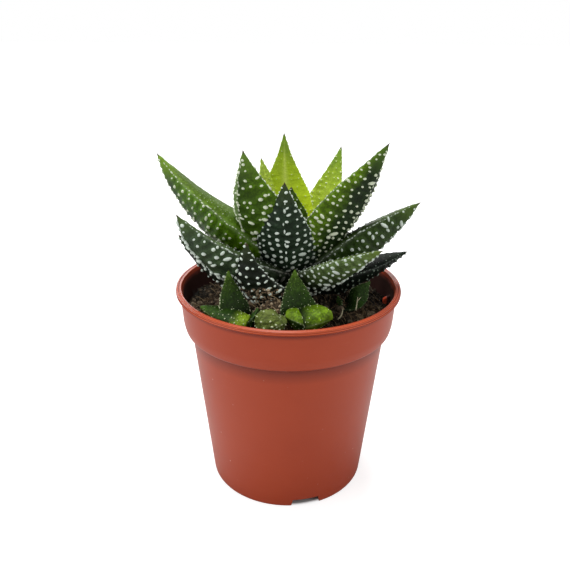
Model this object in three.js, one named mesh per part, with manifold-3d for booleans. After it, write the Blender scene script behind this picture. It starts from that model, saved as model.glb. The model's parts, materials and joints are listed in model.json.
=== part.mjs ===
// A small potted haworthia: a rosette of thick, pointed leaves with raised white pearls, three young
// offsets at its foot, its stem, the soil, and a thin-walled nursery pot with a collar and foot notches.
// Millimetres, +Z up. The origin is on the pot's axis, on the surface that the pot stands on.
// -Y is the front, +X the right. Azimuths are in degrees from +X, turning towards +Y.
import * as THREE from "three";
import { mergeVertices } from "three/addons/utils/BufferGeometryUtils.js";
import Module from "manifold-3d";

const wasm = await Module();
wasm.setup();

// Driving dimensions of the pot
const rimRadius = 42.5;
const potHeight = 81;
const footRadius = 30.6;
const wall = 1.2;
const lipHeight = 1.7;
const lipWidth = 2.1;
const collarTopRadius = 40.9;
const collarFootRadius = 40.1;
const collarFootHeight = 67.8;
const shoulderRadius = 37.3;
const shoulderHeight = 64.3;
const recessHeight = 3.4; // the floor's underside above the surface the pot stands on
const footWidth = 1.7;
const potSides = 40;
const notch = { count: 3, azimuth: -76, bottomWidth: 11.6, topWidth: 10.2, height: 3.2 };
const drain = { count: 5, circle: 15, radius: 1.8, sides: 10 };
const stackingRib = { count: 3, azimuth: 3, width: 1.5, depth: 2.0, top: 75.5 };

// Driving dimensions of the soil and the stem
const clearance = 0.3; // between pieces that touch
const soilEdgeHeight = 71.5;
const soilMound = 6.5; // how far the soil rises from the pot's wall to the stem
const crumbRelief = 0.9;
const stem = { foot: 62, top: 97, footRadius: 3.0, radius: 5.2, topRadius: 1.6 };
const stubRadius = 2.8; // an offset's short stem
const flatCrown = 0.1; // how far the upper face swells where a leaf names no crown

// Driving dimensions of the pearls, as half sizes
const pearl = { across: 0.78, along: 0.58, height: 0.6, sunk: 0.5 };
const pearlPitch = 3.1; // between neighbours on the back of a leaf, all pearls counted
const facetSag = 0.45; // how far a curved skin stands proud of the facets that stand for it
const pearlClearance = 1.15 * pearl.height + clearance + facetSag;
const youngSize = 0.5; // the offsets' pearls against the rosette's
const youngClearance = 1.15 * pearl.height * youngSize + clearance + facetSag;

// The rosette's leaves from the inside out: azimuth, reach and height of the tip; width and thickness;
// full, which rounds its outline; the slopes at which it leaves the stem and ends; roll, which turns
// its back towards +azimuth; from, the height that it grows from; and crown, how far its upper face
// swells, as a share of its thickness.
const rosette = [
  { name: "leaf_heart_front", azimuth: 290, reach: 2, tip: 118.5, width: 16, thick: 5, full: 2,
    out: 74, end: 96, roll: 0, from: 90 },
  { name: "leaf_heart_back", azimuth: 134, reach: 15.2, tip: 126.2, width: 16, thick: 5, full: 2,
    out: 70, end: 72, roll: 0, from: 90 },
  { name: "leaf_top_back", azimuth: 98, reach: 15, tip: 134.8, width: 20.4, thick: 5.5, full: 2.1,
    out: 68, end: 84, roll: 0, from: 89 },
  { name: "leaf_back_right", azimuth: 43, reach: 26.8, tip: 129.4, width: 18.4, thick: 6, full: 2,
    out: 46, end: 72, roll: 0, from: 88 },
  { name: "leaf_inner_left", azimuth: 235, reach: 26, tip: 135.4, width: 27.5, thick: 8, full: 1.7,
    out: 60, end: 76, roll: 8, from: 87 },
  { name: "leaf_inner_right", azimuth: 333, reach: 36.4, tip: 137.1, width: 25, thick: 9.5, full: 2.2,
    out: 52, end: 57, roll: -24, from: 87 },
  { name: "leaf_front", azimuth: 266, reach: 22, tip: 125.2, width: 23, thick: 8, full: 1.55,
    out: 48, end: 80, roll: 0, from: 84 },
  { name: "leaf_left", azimuth: 175, reach: 47.9, tip: 129.1, width: 26, thick: 12.2, full: 2.2,
    out: 38, end: 57, roll: 18, from: 88, crown: 0.6 },
  { name: "leaf_back_left", azimuth: 138, reach: 27, tip: 116.6, width: 20, thick: 7, full: 2,
    out: 50, end: 66, roll: 0, from: 86 },
  { name: "leaf_back", azimuth: 82, reach: 34, tip: 105, width: 19, thick: 7.5, full: 1.9,
    out: 34, end: 58, roll: 0, from: 84 },
  { name: "leaf_right", azimuth: 356, reach: 47.2, tip: 113.8, width: 20, thick: 10.2, full: 3.2,
    out: 24, end: 37, roll: -32, from: 84, crown: 0.6 },
  { name: "leaf_low_left", azimuth: 210, reach: 43.3, tip: 114.1, width: 25, thick: 10, full: 2.1,
    out: 18, end: 60, roll: 17, from: 84, crown: 0.5 },
  { name: "leaf_far_right", azimuth: 48, reach: 36, tip: 100, width: 18, thick: 7, full: 1.9,
    out: 22, end: 42, roll: 0, from: 82 },
  { name: "leaf_low_right", azimuth: 322, reach: 40.1, tip: 102.8, width: 22, thick: 9, full: 2.3,
    out: 18, end: 22, roll: -12, from: 83, crown: 0.25 },
  { name: "leaf_low_front", azimuth: 238, reach: 26.7, tip: 104.4, width: 23, thick: 8.5, full: 1.8,
    out: 0, end: 98, roll: 0, from: 79 },
  { name: "leaf_under_left", azimuth: 188, reach: 40.3, tip: 101.6, width: 20, thick: 8, full: 2,
    out: 4, end: 54, roll: 14, from: 80 },
  { name: "leaf_under_right", azimuth: 12, reach: 47.4, tip: 90.3, width: 19, thick: 11, full: 3,
    out: 8, end: 14, roll: -6, from: 80.5, crown: 0.35 },
  { name: "leaf_under_back", azimuth: 105, reach: 40, tip: 94, width: 18, thick: 7, full: 1.9,
    out: 8, end: 38, roll: 0, from: 80 },
  { name: "leaf_under_back_left", azimuth: 152, reach: 38, tip: 90, width: 17, thick: 7, full: 1.9,
    out: 6, end: 30, roll: 0, from: 79.5 },
];

// The offsets: where each stands, and its few young leaves, each with the place that it grows from.
// plump is how far a curled young leaf swells on its upper face, as a share of its thickness.
const offsets = [
  {
    name: "offset_left", x: -18, y: -25, foot: 66, neck: 76.5,
    leaves: [
      { x: -18.5, y: -24.5, azimuth: 128, reach: 3.2, tip: 94.5, width: 12, thick: 3, full: 1.2,
        out: 84, end: 100, roll: 0, from: 75 },
      { x: -14, y: -28.5, azimuth: 165, reach: 17.4, tip: 81.4, width: 11, thick: 8, full: 2.4,
        out: 16, end: 14, roll: 0, from: 77, plump: 0.4 },
      { x: -16, y: -25, azimuth: 0, reach: 5.5, tip: 82, width: 8, thick: 4, full: 1.6,
        out: 40, end: 75, roll: 0, from: 75.5 },
    ],
  },
  {
    name: "offset_right", x: 4.5, y: -24.5, foot: 66, neck: 76.5,
    leaves: [
      { x: 3.8, y: -24, azimuth: 112, reach: 4.2, tip: 94.4, width: 13.5, thick: 3, full: 1.2,
        out: 84, end: 102, roll: 0, from: 75 },
      { x: 5.5, y: -25.5, azimuth: 200, reach: 7, tip: 79.5, width: 11, thick: 5, full: 4,
        out: 30, end: -10, roll: 0, from: 77, plump: 0.9 },
      { x: 5.5, y: -26, azimuth: 352, reach: 9.5, tip: 79, width: 12, thick: 5.5, full: 4,
        out: 30, end: -20, roll: 0, from: 77, plump: 0.9 },
    ],
  },
  {
    name: "offset_front", x: -6.5, y: -28.5, foot: 66, neck: 75.5,
    leaves: [
      { x: -6.5, y: -28, azimuth: 250, reach: 1, tip: 83, width: 9.5, thick: 5, full: 3.5,
        out: 84, end: 90, roll: 0, from: 74.5, plump: 0.9 },
      { x: -5.5, y: -28, azimuth: 345, reach: 5.5, tip: 78.5, width: 7, thick: 4, full: 3,
        out: 30, end: 0, roll: 0, from: 76, plump: 0.8 },
    ],
  },
  {
    name: "offset_side", x: 21, y: -9, foot: 66, neck: 75.5,
    leaves: [
      { x: 21, y: -9, azimuth: 352, reach: 9, tip: 86, width: 8, thick: 3.5, full: 1.7,
        out: 30, end: 60, roll: 0, from: 74 },
      { x: 21, y: -9, azimuth: 150, reach: 5, tip: 82, width: 7, thick: 3.5, full: 1.7,
        out: 50, end: 80, roll: 0, from: 74 },
    ],
  },
];

const rad = THREE.MathUtils.degToRad;
const { clamp, lerp, smoothstep } = THREE.MathUtils;

// A repeatable number from 0 to 1 for a row, a place in it and a use
function draw(a, b, c) {
  const x = Math.sin(a * 12.9898 + b * 78.233 + c * 37.719) * 43758.5453;
  return x - Math.floor(x);
}

// Solids and meshes

function solidOf(geometry) {
  const bare = geometry.clone();
  bare.deleteAttribute("normal");
  bare.deleteAttribute("uv");
  const merged = mergeVertices(bare, 1e-4);
  return solidFrom(merged.attributes.position.array, merged.index.array);
}

function solidFrom(positions, triangles) {
  const mesh = new wasm.Mesh({
    numProp: 3,
    vertProperties: new Float32Array(positions),
    triVerts: new Uint32Array(triangles),
  });
  return new wasm.Manifold(mesh);
}

function largestBody(solid) {
  return solid.decompose().reduce((a, b) => (b.volume() > a.volume() ? b : a));
}

function meshOf(name, solid, material) {
  const found = largestBody(solid.simplify(0.08)).getMesh();
  const geometry = new THREE.BufferGeometry();
  geometry.setAttribute("position", new THREE.BufferAttribute(found.vertProperties, 3));
  geometry.setIndex(new THREE.BufferAttribute(found.triVerts, 1));
  geometry.computeVertexNormals();
  const mesh = new THREE.Mesh(geometry, material);
  mesh.name = name;
  return mesh;
}

// A solid of revolution about +Z from [radius, height] pairs that start and end on the axis
function turned(profile, sides) {
  const points = profile.map(([radius, height]) => new THREE.Vector2(radius, height));
  return solidOf(new THREE.LatheGeometry(points, sides).rotateX(Math.PI / 2));
}

// Leaves

// The midline's point and frame at t, from 0 at the stem to 1 at the tip
function leafFrame(leaf, t) {
  const heading = new THREE.Vector3(Math.cos(rad(leaf.azimuth)), Math.sin(rad(leaf.azimuth)), 0);
  const up = new THREE.Vector3(0, 0, 1);
  const slope = (angle) =>
    heading.clone().multiplyScalar(Math.cos(rad(angle))).addScaledVector(up, Math.sin(rad(angle)));
  const root = new THREE.Vector3(leaf.x ?? 0, leaf.y ?? 0, leaf.from);
  const tip = root.clone().addScaledVector(heading, leaf.reach).setZ(leaf.tip);
  const span = root.distanceTo(tip);
  const midline = new THREE.CubicBezierCurve3(
    root,
    root.clone().addScaledVector(slope(leaf.out), span * 0.36),
    tip.clone().addScaledVector(slope(leaf.end), -span * 0.36),
    tip,
  );
  const along = midline.getTangent(t);
  const level = new THREE.Vector3().crossVectors(heading, up).negate();
  const side = level.applyAxisAngle(along, rad(leaf.roll * smoothstep(t, 0, 0.7)));
  const face = new THREE.Vector3().crossVectors(along, side).normalize();
  return { centre: midline.getPoint(t), along, side, face, span };
}

// The share of the full width at t: wide at the foot, widest at a quarter, then tapering to a point
function outline(leaf, t) {
  const widest = 0.26;
  if (t < widest) return lerp(0.8, 1, Math.sin((t / widest) * Math.PI / 2));
  const rest = (t - widest) / (1 - widest);
  return (1 - Math.pow(rest, leaf.full)) * (1 - 0.22 * smoothstep(rest, 0.55, 1));
}

// A point of the leaf's skin: turn is 0 and 180 at the margins, 90 on the upper face, 270 on the keel
function skin(leaf, t, turn, grown = 0) {
  const { centre, side, face } = leafFrame(leaf, t);
  const share = outline(leaf, t);
  const half = (leaf.width / 2) * share + grown;
  const back = leaf.thick * (0.3 + 0.7 * share) * Math.pow(1 - t, 0.3) * 0.9 + grown;
  const swell = leaf.plump ?? leaf.crown ?? flatCrown;
  const front = leaf.thick * swell * Math.pow(1 - t, leaf.plump ? 0.3 : 0.6) + grown;
  const keel = 0.15 + 0.45 * t;
  const across = Math.cos(rad(turn));
  const rise = Math.sin(rad(turn));
  const belly = (1 - keel) * Math.abs(rise) + keel * (1 - Math.abs(across));
  const clasp = leaf.plump ? 0 : leaf.width * 0.16 * Math.pow(1 - clamp(t / 0.75, 0, 1), 1.5);
  const depth = rise >= 0 ? front * rise : -back * belly;
  const lifted = depth + clasp * across * across;
  return centre.clone().addScaledVector(side, half * across).addScaledVector(face, lifted);
}

// The closed body of a leaf, grown outwards by the given amount
function leafBody(leaf, rings, around, grown = 0) {
  const positions = [];
  const triangles = [];
  const last = rings - 1;
  for (let i = 0; i < rings; i++) {
    const t = Math.pow(i / rings, 0.9) * 0.985;
    for (let k = 0; k < around; k++) positions.push(...skin(leaf, t, (360 * k) / around, grown).toArray());
  }
  const foot = leafFrame(leaf, 0);
  const tip = leafFrame(leaf, 1);
  positions.push(...foot.centre.clone().addScaledVector(foot.along, -grown).toArray());
  positions.push(...tip.centre.clone().addScaledVector(tip.along, grown).toArray());
  const footAt = rings * around;
  for (let k = 0; k < around; k++) {
    const next = (k + 1) % around;
    for (let i = 0; i < last; i++) {
      const a = i * around + k;
      const b = i * around + next;
      triangles.push(a, b, b + around, a, b + around, a + around);
    }
    triangles.push(footAt, next, k, footAt + 1, last * around + k, last * around + next);
  }
  const made = solidFrom(positions, triangles);
  return made.volume() < 0 ? solidFrom(positions, triangles.reverse()) : made;
}

// A low three-sided pearl standing on the skin
function pearlAt(leaf, t, turn, size) {
  const at = skin(leaf, t, turn);
  const onward = skin(leaf, t + 0.004, turn).sub(at).normalize();
  const aside = skin(leaf, t, turn + 1).sub(at).normalize();
  const out = new THREE.Vector3().crossVectors(aside, onward).normalize();
  const foot = at.clone().addScaledVector(out, -pearl.sunk);
  const corner = (a, b) => foot.clone().addScaledVector(aside, a).addScaledVector(onward, b).toArray();
  const a = pearl.across * size * 1.5;
  const b = pearl.along * size * 1.5;
  const apex = at.clone().addScaledVector(out, pearl.height * size).toArray();
  const points = [...corner(a, -0.6 * b), ...corner(0, 1.2 * b), ...corner(-a, -0.6 * b), ...apex];
  const faces = [0, 1, 3, 1, 2, 3, 2, 0, 3, 0, 2, 1];
  const made = solidFrom(points, faces);
  return made.volume() < 0 ? solidFrom(points, faces.reverse()) : made;
}

// Every second pearl of every second row, on the back and, smaller and sparser, on the upper face
function pearls(leaf, seed, from, size) {
  const found = [];
  const { span } = leafFrame(leaf, 0);
  const rows = Math.floor((span * (0.97 - from)) / pearlPitch);
  for (let row = 0; row < rows; row += 2) {
    const t = from + ((row + 0.5) * pearlPitch) / span;
    const half = (leaf.width / 2) * outline(leaf, t);
    for (const face of row % 6 === 0 ? ["back", "upper"] : ["back"]) {
      const reach = face === "back" ? 2.6 * half : 2.0 * half;
      const pitch = face === "back" ? pearlPitch : pearlPitch * 1.6;
      const count = Math.max(1, Math.round(reach / pitch));
      for (let place = (row / 2) % 2; place < count; place += 2) {
        const shift = (draw(seed, row, place) - 0.5) * 0.5;
        const share = (place + 0.5 + shift) / count;
        const turn = face === "back" ? 180 + 180 * share : 180 * share;
        const lift = ((draw(seed, place, row + 50) - 0.5) * 0.6 * pearlPitch) / span;
        const grade = size * (face === "back" ? 1 : 0.62) * (0.85 + 0.3 * draw(seed, row + 9, place));
        found.push(pearlAt(leaf, clamp(t + lift, 0.02, 0.96), turn, grade));
      }
    }
  }
  return found;
}

// The pot

function potProfile() {
  const floorTop = recessHeight + wall;
  const inner = (height) => lerp(footRadius, shoulderRadius, height / shoulderHeight) - wall;
  const shoulder = (radiusIn, steps) =>
    [...Array(steps).keys()].map((i) => {
      const turn = ((i + 1) / steps) * (Math.PI / 2);
      const rise = collarFootHeight - shoulderHeight;
      const run = collarFootRadius - shoulderRadius;
      const height = shoulderHeight + rise * (1 - Math.cos(turn)) + radiusIn * 0.6;
      return [shoulderRadius - radiusIn + run * Math.sin(turn), height];
    });
  const lipFoot = potHeight - lipHeight;
  return [
    [0, recessHeight],
    [footRadius - footWidth, recessHeight],
    [footRadius - footWidth, 0],
    [footRadius - 0.5, 0],
    [footRadius, 0.5],
    [shoulderRadius, shoulderHeight],
    ...shoulder(0, 3),
    [collarTopRadius, lipFoot],
    [rimRadius, lipFoot + 0.3],
    [rimRadius, potHeight - 0.4],
    [rimRadius - 0.4, potHeight],
    [rimRadius - lipWidth + 0.3, potHeight],
    [rimRadius - lipWidth, potHeight - 0.3],
    [collarTopRadius - wall, lipFoot - 0.5],
    ...shoulder(wall, 2).reverse(),
    [inner(shoulderHeight), shoulderHeight + wall * 0.6],
    [inner(floorTop + 1), floorTop + 1],
    [inner(floorTop) - 1, floorTop],
    [0, floorTop],
  ];
}

function notchCutter(azimuth) {
  const shape = new THREE.Shape([
    new THREE.Vector2(-notch.bottomWidth / 2, -1),
    new THREE.Vector2(notch.bottomWidth / 2, -1),
    new THREE.Vector2(notch.topWidth / 2, notch.height),
    new THREE.Vector2(-notch.topWidth / 2, notch.height),
  ]);
  const block = new THREE.ExtrudeGeometry(shape, { depth: 12, bevelEnabled: false });
  block.rotateX(Math.PI / 2).rotateZ(Math.PI / 2).translate(footRadius - 9, 0, 0);
  return solidOf(block.rotateZ(rad(azimuth)));
}

function ribAt(azimuth, grown) {
  const foot = shoulderHeight - 3;
  const height = stackingRib.top - foot + grown;
  const outerRadius = collarFootRadius - wall / 2;
  const depth = stackingRib.depth + wall / 2 + grown;
  const block = new THREE.BoxGeometry(depth, stackingRib.width + 2 * grown, height);
  block.translate(outerRadius - depth / 2, 0, foot + height / 2);
  return solidOf(block.rotateZ(rad(azimuth)));
}

const around = (count, first) => [...Array(count).keys()].map((i) => first + (360 * i) / count);
const ribAzimuths = around(stackingRib.count, stackingRib.azimuth);

function makePot() {
  const shell = turned(potProfile(), potSides);
  // The ribs stand inside the wall: what would come through its outside is cut away.
  const outside = turned([
    [0, 0],
    [footRadius, 0.5],
    [shoulderRadius - 0.4, shoulderHeight],
    [collarFootRadius - 0.5, collarFootHeight],
    [collarTopRadius - 0.5, potHeight - 3],
    [0, potHeight - 3],
  ], potSides);
  const ribs = ribAzimuths.map((azimuth) => ribAt(azimuth, 0).intersect(outside));
  let pot = wasm.Manifold.union([shell, ...ribs]);
  for (const azimuth of around(notch.count, notch.azimuth)) pot = pot.subtract(notchCutter(azimuth));
  for (const azimuth of around(drain.count, 0)) {
    const hole = new THREE.CylinderGeometry(drain.radius, drain.radius, 4 * wall, drain.sides);
    hole.rotateX(Math.PI / 2).translate(drain.circle, 0, recessHeight).rotateZ(rad(azimuth));
    pot = pot.subtract(solidOf(hole));
  }
  return pot;
}

// The soil: a plug that fills the pot, with a crumbly mound on top

function soilHeight(x, y) {
  const radius = Math.hypot(x, y);
  const mound = soilMound * (1 - smoothstep(radius, 8, 38));
  const lump = Math.sin(x * 0.55 + 1.3 * Math.sin(y * 0.31)) * Math.cos(y * 0.47 - 1.1 * Math.sin(x * 0.23));
  return soilEdgeHeight + mound + 0.5 * crumbRelief * lump;
}

// The radius of the soil's side, just inside the pot's wall
function soilRadius(height) {
  const lipFoot = potHeight - lipHeight;
  const outer =
    height >= collarFootHeight
      ? lerp(collarFootRadius, collarTopRadius, (height - collarFootHeight) / (lipFoot - collarFootHeight))
      : lerp(footRadius, shoulderRadius, height / shoulderHeight);
  return outer - wall - clearance;
}

function makeSoil() {
  const rings = 8;
  const sectors = 30;
  const bottom = recessHeight + wall + clearance;
  const edge = soilRadius(soilEdgeHeight);
  const positions = [];
  const ring = (radius, heightOf) => {
    for (let k = 0; k < sectors; k++) {
      const turn = (2 * Math.PI * k) / sectors;
      const x = radius * Math.cos(turn);
      const y = radius * Math.sin(turn);
      positions.push(x, y, heightOf(x, y, k));
    }
  };
  for (let i = 1; i < rings; i++) {
    ring((edge * i) / rings, (x, y, k) => soilHeight(x, y) + (draw(i, k, 7) - 0.5) * crumbRelief);
  }
  const side = [
    [edge, soilEdgeHeight - 0.3],
    [soilRadius(collarFootHeight) - 0.4, collarFootHeight],
    [soilRadius(shoulderHeight), shoulderHeight + 1.6],
    [soilRadius(shoulderHeight), shoulderHeight],
    [soilRadius(bottom) - 1.2, bottom],
  ];
  for (const [radius, height] of side) ring(radius, () => height);
  const rows = rings - 1 + side.length;
  const triangles = [];
  const top = rows * sectors;
  positions.push(0, 0, soilHeight(0, 0), 0, 0, bottom);
  for (let k = 0; k < sectors; k++) {
    const next = (k + 1) % sectors;
    triangles.push(top, k, next);
    for (let i = 0; i < rows - 1; i++) {
      const a = i * sectors + k;
      const b = i * sectors + next;
      triangles.push(a, a + sectors, b + sectors, a, b + sectors, b);
    }
    triangles.push(top + 1, (rows - 1) * sectors + next, (rows - 1) * sectors + k);
  }
  return solidFrom(positions, triangles);
}

// The stem: a root crown in the soil, a thick neck that the leaves grow from, and a bud
function makeStem(grown) {
  const { foot, top, footRadius: crown, radius, topRadius } = stem;
  return turned([
    [0, foot - grown],
    [crown + grown, foot - grown],
    [radius + grown, foot + 8],
    [radius + grown, lerp(foot, top, 0.62)],
    [topRadius + grown, top - 2 + grown],
    [0, top + grown],
  ], 14);
}

// The short stem of an offset, grown by the given amount, up to the height of top
function stubAt(offset, grown, top) {
  const foot = offset.foot - grown;
  const stub = new THREE.CylinderGeometry(stubRadius + grown, stubRadius + grown, top - foot, 10);
  return solidOf(stub.rotateX(Math.PI / 2).translate(offset.x, offset.y, (foot + top) / 2));
}

// Put together

const plastic = new THREE.MeshStandardMaterial({ color: 0xb2523a, roughness: 0.5, metalness: 0 });
const earth = new THREE.MeshStandardMaterial({ color: 0x2b2119, roughness: 1, metalness: 0 });
const bark = new THREE.MeshStandardMaterial({ color: 0x6d6a3c, roughness: 0.8, metalness: 0 });
const green = new THREE.MeshStandardMaterial({ color: 0x2c5a22, roughness: 0.45, metalness: 0 });
const bright = new THREE.MeshStandardMaterial({ color: 0x6d9a2c, roughness: 0.4, metalness: 0 });

const plant = new THREE.Group();
const taken = []; // grown bodies that later pieces are cut clear of
const stemBody = makeStem(0);
const stemRoom = makeStem(clearance);
const leafSolids = [];

// The room inside the pot's wall, open above
const lipRoom = rimRadius - lipWidth - clearance;
const potRoom = turned([
  [0, shoulderHeight],
  [shoulderRadius - wall - clearance, shoulderHeight],
  [collarFootRadius - wall - 2 * clearance, collarFootHeight],
  [collarTopRadius - wall - 2 * clearance, potHeight - lipHeight - 1],
  [lipRoom, potHeight - 0.5],
  [lipRoom, potHeight + clearance],
  [2 * rimRadius, potHeight + clearance],
  [0, 2 * potHeight],
], potSides);

function clearOf(solid, rooms) {
  return rooms.reduce((rest, room) => rest.subtract(room), solid);
}

rosette.forEach((leaf, order) => {
  const body = leafBody(leaf, 8, 12);
  const cut = largestBody(clearOf(body, [stemRoom, ...taken]));
  const standsFree = (one) => taken.every((room) => one.intersect(room).isEmpty());
  const free = pearls(leaf, order + 1, 0.24, 1).filter(standsFree);
  leafSolids.push([leaf.name, wasm.Manifold.union([cut, ...free])]);
  taken.push(leafBody(leaf, 8, 12, pearlClearance));
});

const offsetSolids = offsets.map((offset, order) => {
  const pieces = [stubAt(offset, 0, offset.neck)];
  offset.leaves.forEach((young, place) => {
    pieces.push(leafBody(young, 7, 8), ...pearls(young, 40 + order * 5 + place, 0.35, youngSize));
  });
  const cut = largestBody(clearOf(wasm.Manifold.union(pieces).intersect(potRoom), taken));
  taken.push(stubAt(offset, clearance, potHeight));
  for (const young of offset.leaves) taken.push(leafBody(young, 7, 8, youngClearance));
  return [offset.name, cut];
});

const ribRooms = ribAzimuths.map((azimuth) => ribAt(azimuth, clearance));
const soil = clearOf(makeSoil(), [...taken, stemRoom, ...ribRooms]);

plant.add(meshOf("pot", makePot(), plastic));
plant.add(meshOf("soil", soil, earth));
plant.add(meshOf("stem", stemBody, bark));
for (const [name, solid] of leafSolids) plant.add(meshOf(name, solid, green));
for (const [name, solid] of offsetSolids) plant.add(meshOf(name, solid, bright));

export default plant;
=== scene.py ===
import json
import math

import bmesh
import bpy
import numpy as np
from mathutils import Matrix, Vector, noise
from mathutils.bvhtree import BVHTree

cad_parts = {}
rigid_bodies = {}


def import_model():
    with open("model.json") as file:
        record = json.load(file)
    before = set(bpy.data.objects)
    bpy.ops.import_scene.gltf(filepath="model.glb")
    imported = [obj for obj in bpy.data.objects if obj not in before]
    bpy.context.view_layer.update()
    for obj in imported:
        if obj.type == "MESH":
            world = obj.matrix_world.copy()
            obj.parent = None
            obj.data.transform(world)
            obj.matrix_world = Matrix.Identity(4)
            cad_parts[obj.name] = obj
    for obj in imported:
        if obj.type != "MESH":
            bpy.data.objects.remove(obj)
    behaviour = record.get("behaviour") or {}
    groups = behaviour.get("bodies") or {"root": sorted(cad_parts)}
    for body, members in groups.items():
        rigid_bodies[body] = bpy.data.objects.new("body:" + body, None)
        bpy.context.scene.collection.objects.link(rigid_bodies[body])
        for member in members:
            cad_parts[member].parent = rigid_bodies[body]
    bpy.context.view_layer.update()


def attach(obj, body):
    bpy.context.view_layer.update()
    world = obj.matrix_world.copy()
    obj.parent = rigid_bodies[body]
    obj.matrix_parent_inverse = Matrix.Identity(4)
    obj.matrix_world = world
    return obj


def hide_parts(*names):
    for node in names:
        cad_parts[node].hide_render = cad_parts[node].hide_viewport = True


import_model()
mm = 0.001


def draw(a, b, c):
    # a number from 0 to 1, always the same for the same three
    x = math.sin(a * 12.9898 + b * 78.233 + c * 37.719) * 43758.5453
    return x - math.floor(x)


def smooth(x, low, high):
    x = np.clip((np.asarray(x, float) - low) / (high - low), 0, 1)
    return x * x * (3 - 2 * x)


def unit(v):
    v = np.asarray(v, float)
    return v / np.maximum(np.linalg.norm(v, axis=-1, keepdims=True), 1e-12)


def shown(name, data):
    thing = bpy.data.objects.new(name, data)
    bpy.context.scene.collection.objects.link(thing)
    return thing


def addMesh(name, points, faces, materials, flat=False):
    # points in millimetres
    mesh = bpy.data.meshes.new(name)
    mesh.from_pydata((np.asarray(points, float) * mm).tolist(), [], faces)
    mesh.polygons.foreach_set("use_smooth", [not flat] * len(mesh.polygons))
    for material in materials:
        mesh.materials.append(material)
    mesh.update()
    return shown(name, mesh)


def band(low, high):
    # the faces between two rings of points
    onward = list(range(1, len(low))) + [0]
    return [(low[k], low[n], high[n], high[k]) for k, n in enumerate(onward)]


def fan(middle, ring):
    # the faces between one point and a ring
    return [(middle, k, n) for k, n in zip(ring, ring[1:] + ring[:1])]


def attribute(thing, name, values, kind="FLOAT"):
    # one value for each point
    layer = thing.data.attributes.new(name, kind, "POINT")
    field = "vector" if kind == "FLOAT_VECTOR" else "value"
    layer.data.foreach_set(field, np.asarray(values, np.float32).ravel())


def fixNormals(thing):
    # merge doubled points, and turn every face outwards
    work = bmesh.new()
    work.from_mesh(thing.data)
    bmesh.ops.remove_doubles(work, verts=work.verts, dist=1e-7)
    bmesh.ops.recalc_face_normals(work, faces=work.faces)
    if work.calc_volume(signed=True) < 0:
        bmesh.ops.reverse_faces(work, faces=work.faces)
    work.to_mesh(thing.data)
    work.free()


def joined(first, others):
    # one object out of several, each part keeping its finish
    bpy.context.view_layer.update()
    for thing in bpy.context.view_layer.objects:
        thing.select_set(thing is first or thing in others)
    bpy.context.view_layer.objects.active = first
    bpy.ops.object.join()
    return first


def fitted(piece, slot, *nodes):
    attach(piece, "root")
    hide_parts(*nodes)
    return piece


def rounded(corners, steps=5):
    # a profile of radius, height and rounding, with its corners turned to small arcs
    points = [np.array(corner[:2], float) for corner in corners]
    found = []
    for i, (p, corner) in enumerate(zip(points, corners)):
        if corner[2] == 0 or i in (0, len(points) - 1):
            found.append(p)
            continue
        arms = [points[i - 1] - p, points[i + 1] - p]
        start, end = (p + unit(arm) * min(corner[2], 0.45 * np.linalg.norm(arm)) for arm in arms)
        for k in range(steps + 1):
            s = k / steps
            found.append((1 - s) ** 2 * start + 2 * s * (1 - s) * p + s * s * end)
    return found


def lathe(name, profile, sides, materials):
    # a turned body; the profile starts and ends on the axis
    points, rows = [], []
    for i, (radius, height) in enumerate(profile):
        if i in (0, len(profile) - 1):
            rows.append([len(points)] * sides)
            points.append((0, 0, height))
            continue
        rows.append(list(range(len(points), len(points) + sides)))
        for k in range(sides):
            turn = 2 * math.pi * k / sides
            points.append((radius * math.cos(turn), radius * math.sin(turn), height))
    corners = [corner for low, high in zip(rows, rows[1:]) for corner in band(low, high)]
    faces = [[v for j, v in enumerate(corner) if v not in corner[:j]] for corner in corners]
    return addMesh(name, points, faces, materials)


# nodes, the same way for geometry and for finishes

def link(tree, value, socket):
    if isinstance(value, bpy.types.NodeSocket):
        tree.links.new(value, socket)
    else:
        socket.default_value = value


def node(tree, kind, inputs, out=0, **settings):
    # one node with its settings and its inputs, which are values or other nodes' outputs
    made = tree.nodes.new(kind)
    for name, value in settings.items():
        setattr(made, name, value)
    for name, value in inputs.items():
        link(tree, value, made.inputs[name])
    return made.outputs[out]


def maths(tree, operation, *values):
    return node(tree, "ShaderNodeMath", dict(enumerate(values)), operation=operation)


def times(tree, a, b):
    return maths(tree, "MULTIPLY", a, b)


def vectors(tree, operation, *values, out=0):
    return node(tree, "ShaderNodeVectorMath", dict(enumerate(values)), out, operation=operation)


def mapped(tree, value, low, high, first=0.0, last=1.0):
    return node(tree, "ShaderNodeMapRange", {
        "Value": value, "From Min": low, "From Max": high, "To Min": first, "To Max": last,
    })


def newGroup(kind, name, inputs, *outputs):
    group = bpy.data.node_groups.new(name, kind)
    for label, socketKind, value in inputs:
        socket = group.interface.new_socket(label, in_out="INPUT", socket_type="NodeSocket" + socketKind)
        if value is not None:
            socket.default_value = value
    for label, socketKind in outputs:
        group.interface.new_socket(label, in_out="OUTPUT", socket_type="NodeSocket" + socketKind)
    return group, group.nodes.new("NodeGroupInput").outputs, group.nodes.new("NodeGroupOutput").inputs


# trees for what repeats

def newTree(name, *sockets):
    inputs = [("Geometry", "Geometry", None), *sockets, ("Finish", "Material", None)]
    return newGroup("GeometryNodeTree", name, inputs, ("Geometry", "Geometry"))


def closing(tree, instances, given, end):
    # the tree's end: real geometry with its material
    real = node(tree, "GeometryNodeRealizeInstances", {0: instances})
    shaded = node(tree, "GeometryNodeSetShadeSmooth", {0: real})
    link(tree, node(tree, "GeometryNodeSetMaterial", {0: shaded, "Material": given["Finish"]}), end[0])
    return tree


def named(tree, name):
    kind = "GeometryNodeInputNamedAttribute"
    return node(tree, kind, {"Name": name}, "Attribute", data_type="FLOAT_VECTOR")


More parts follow.
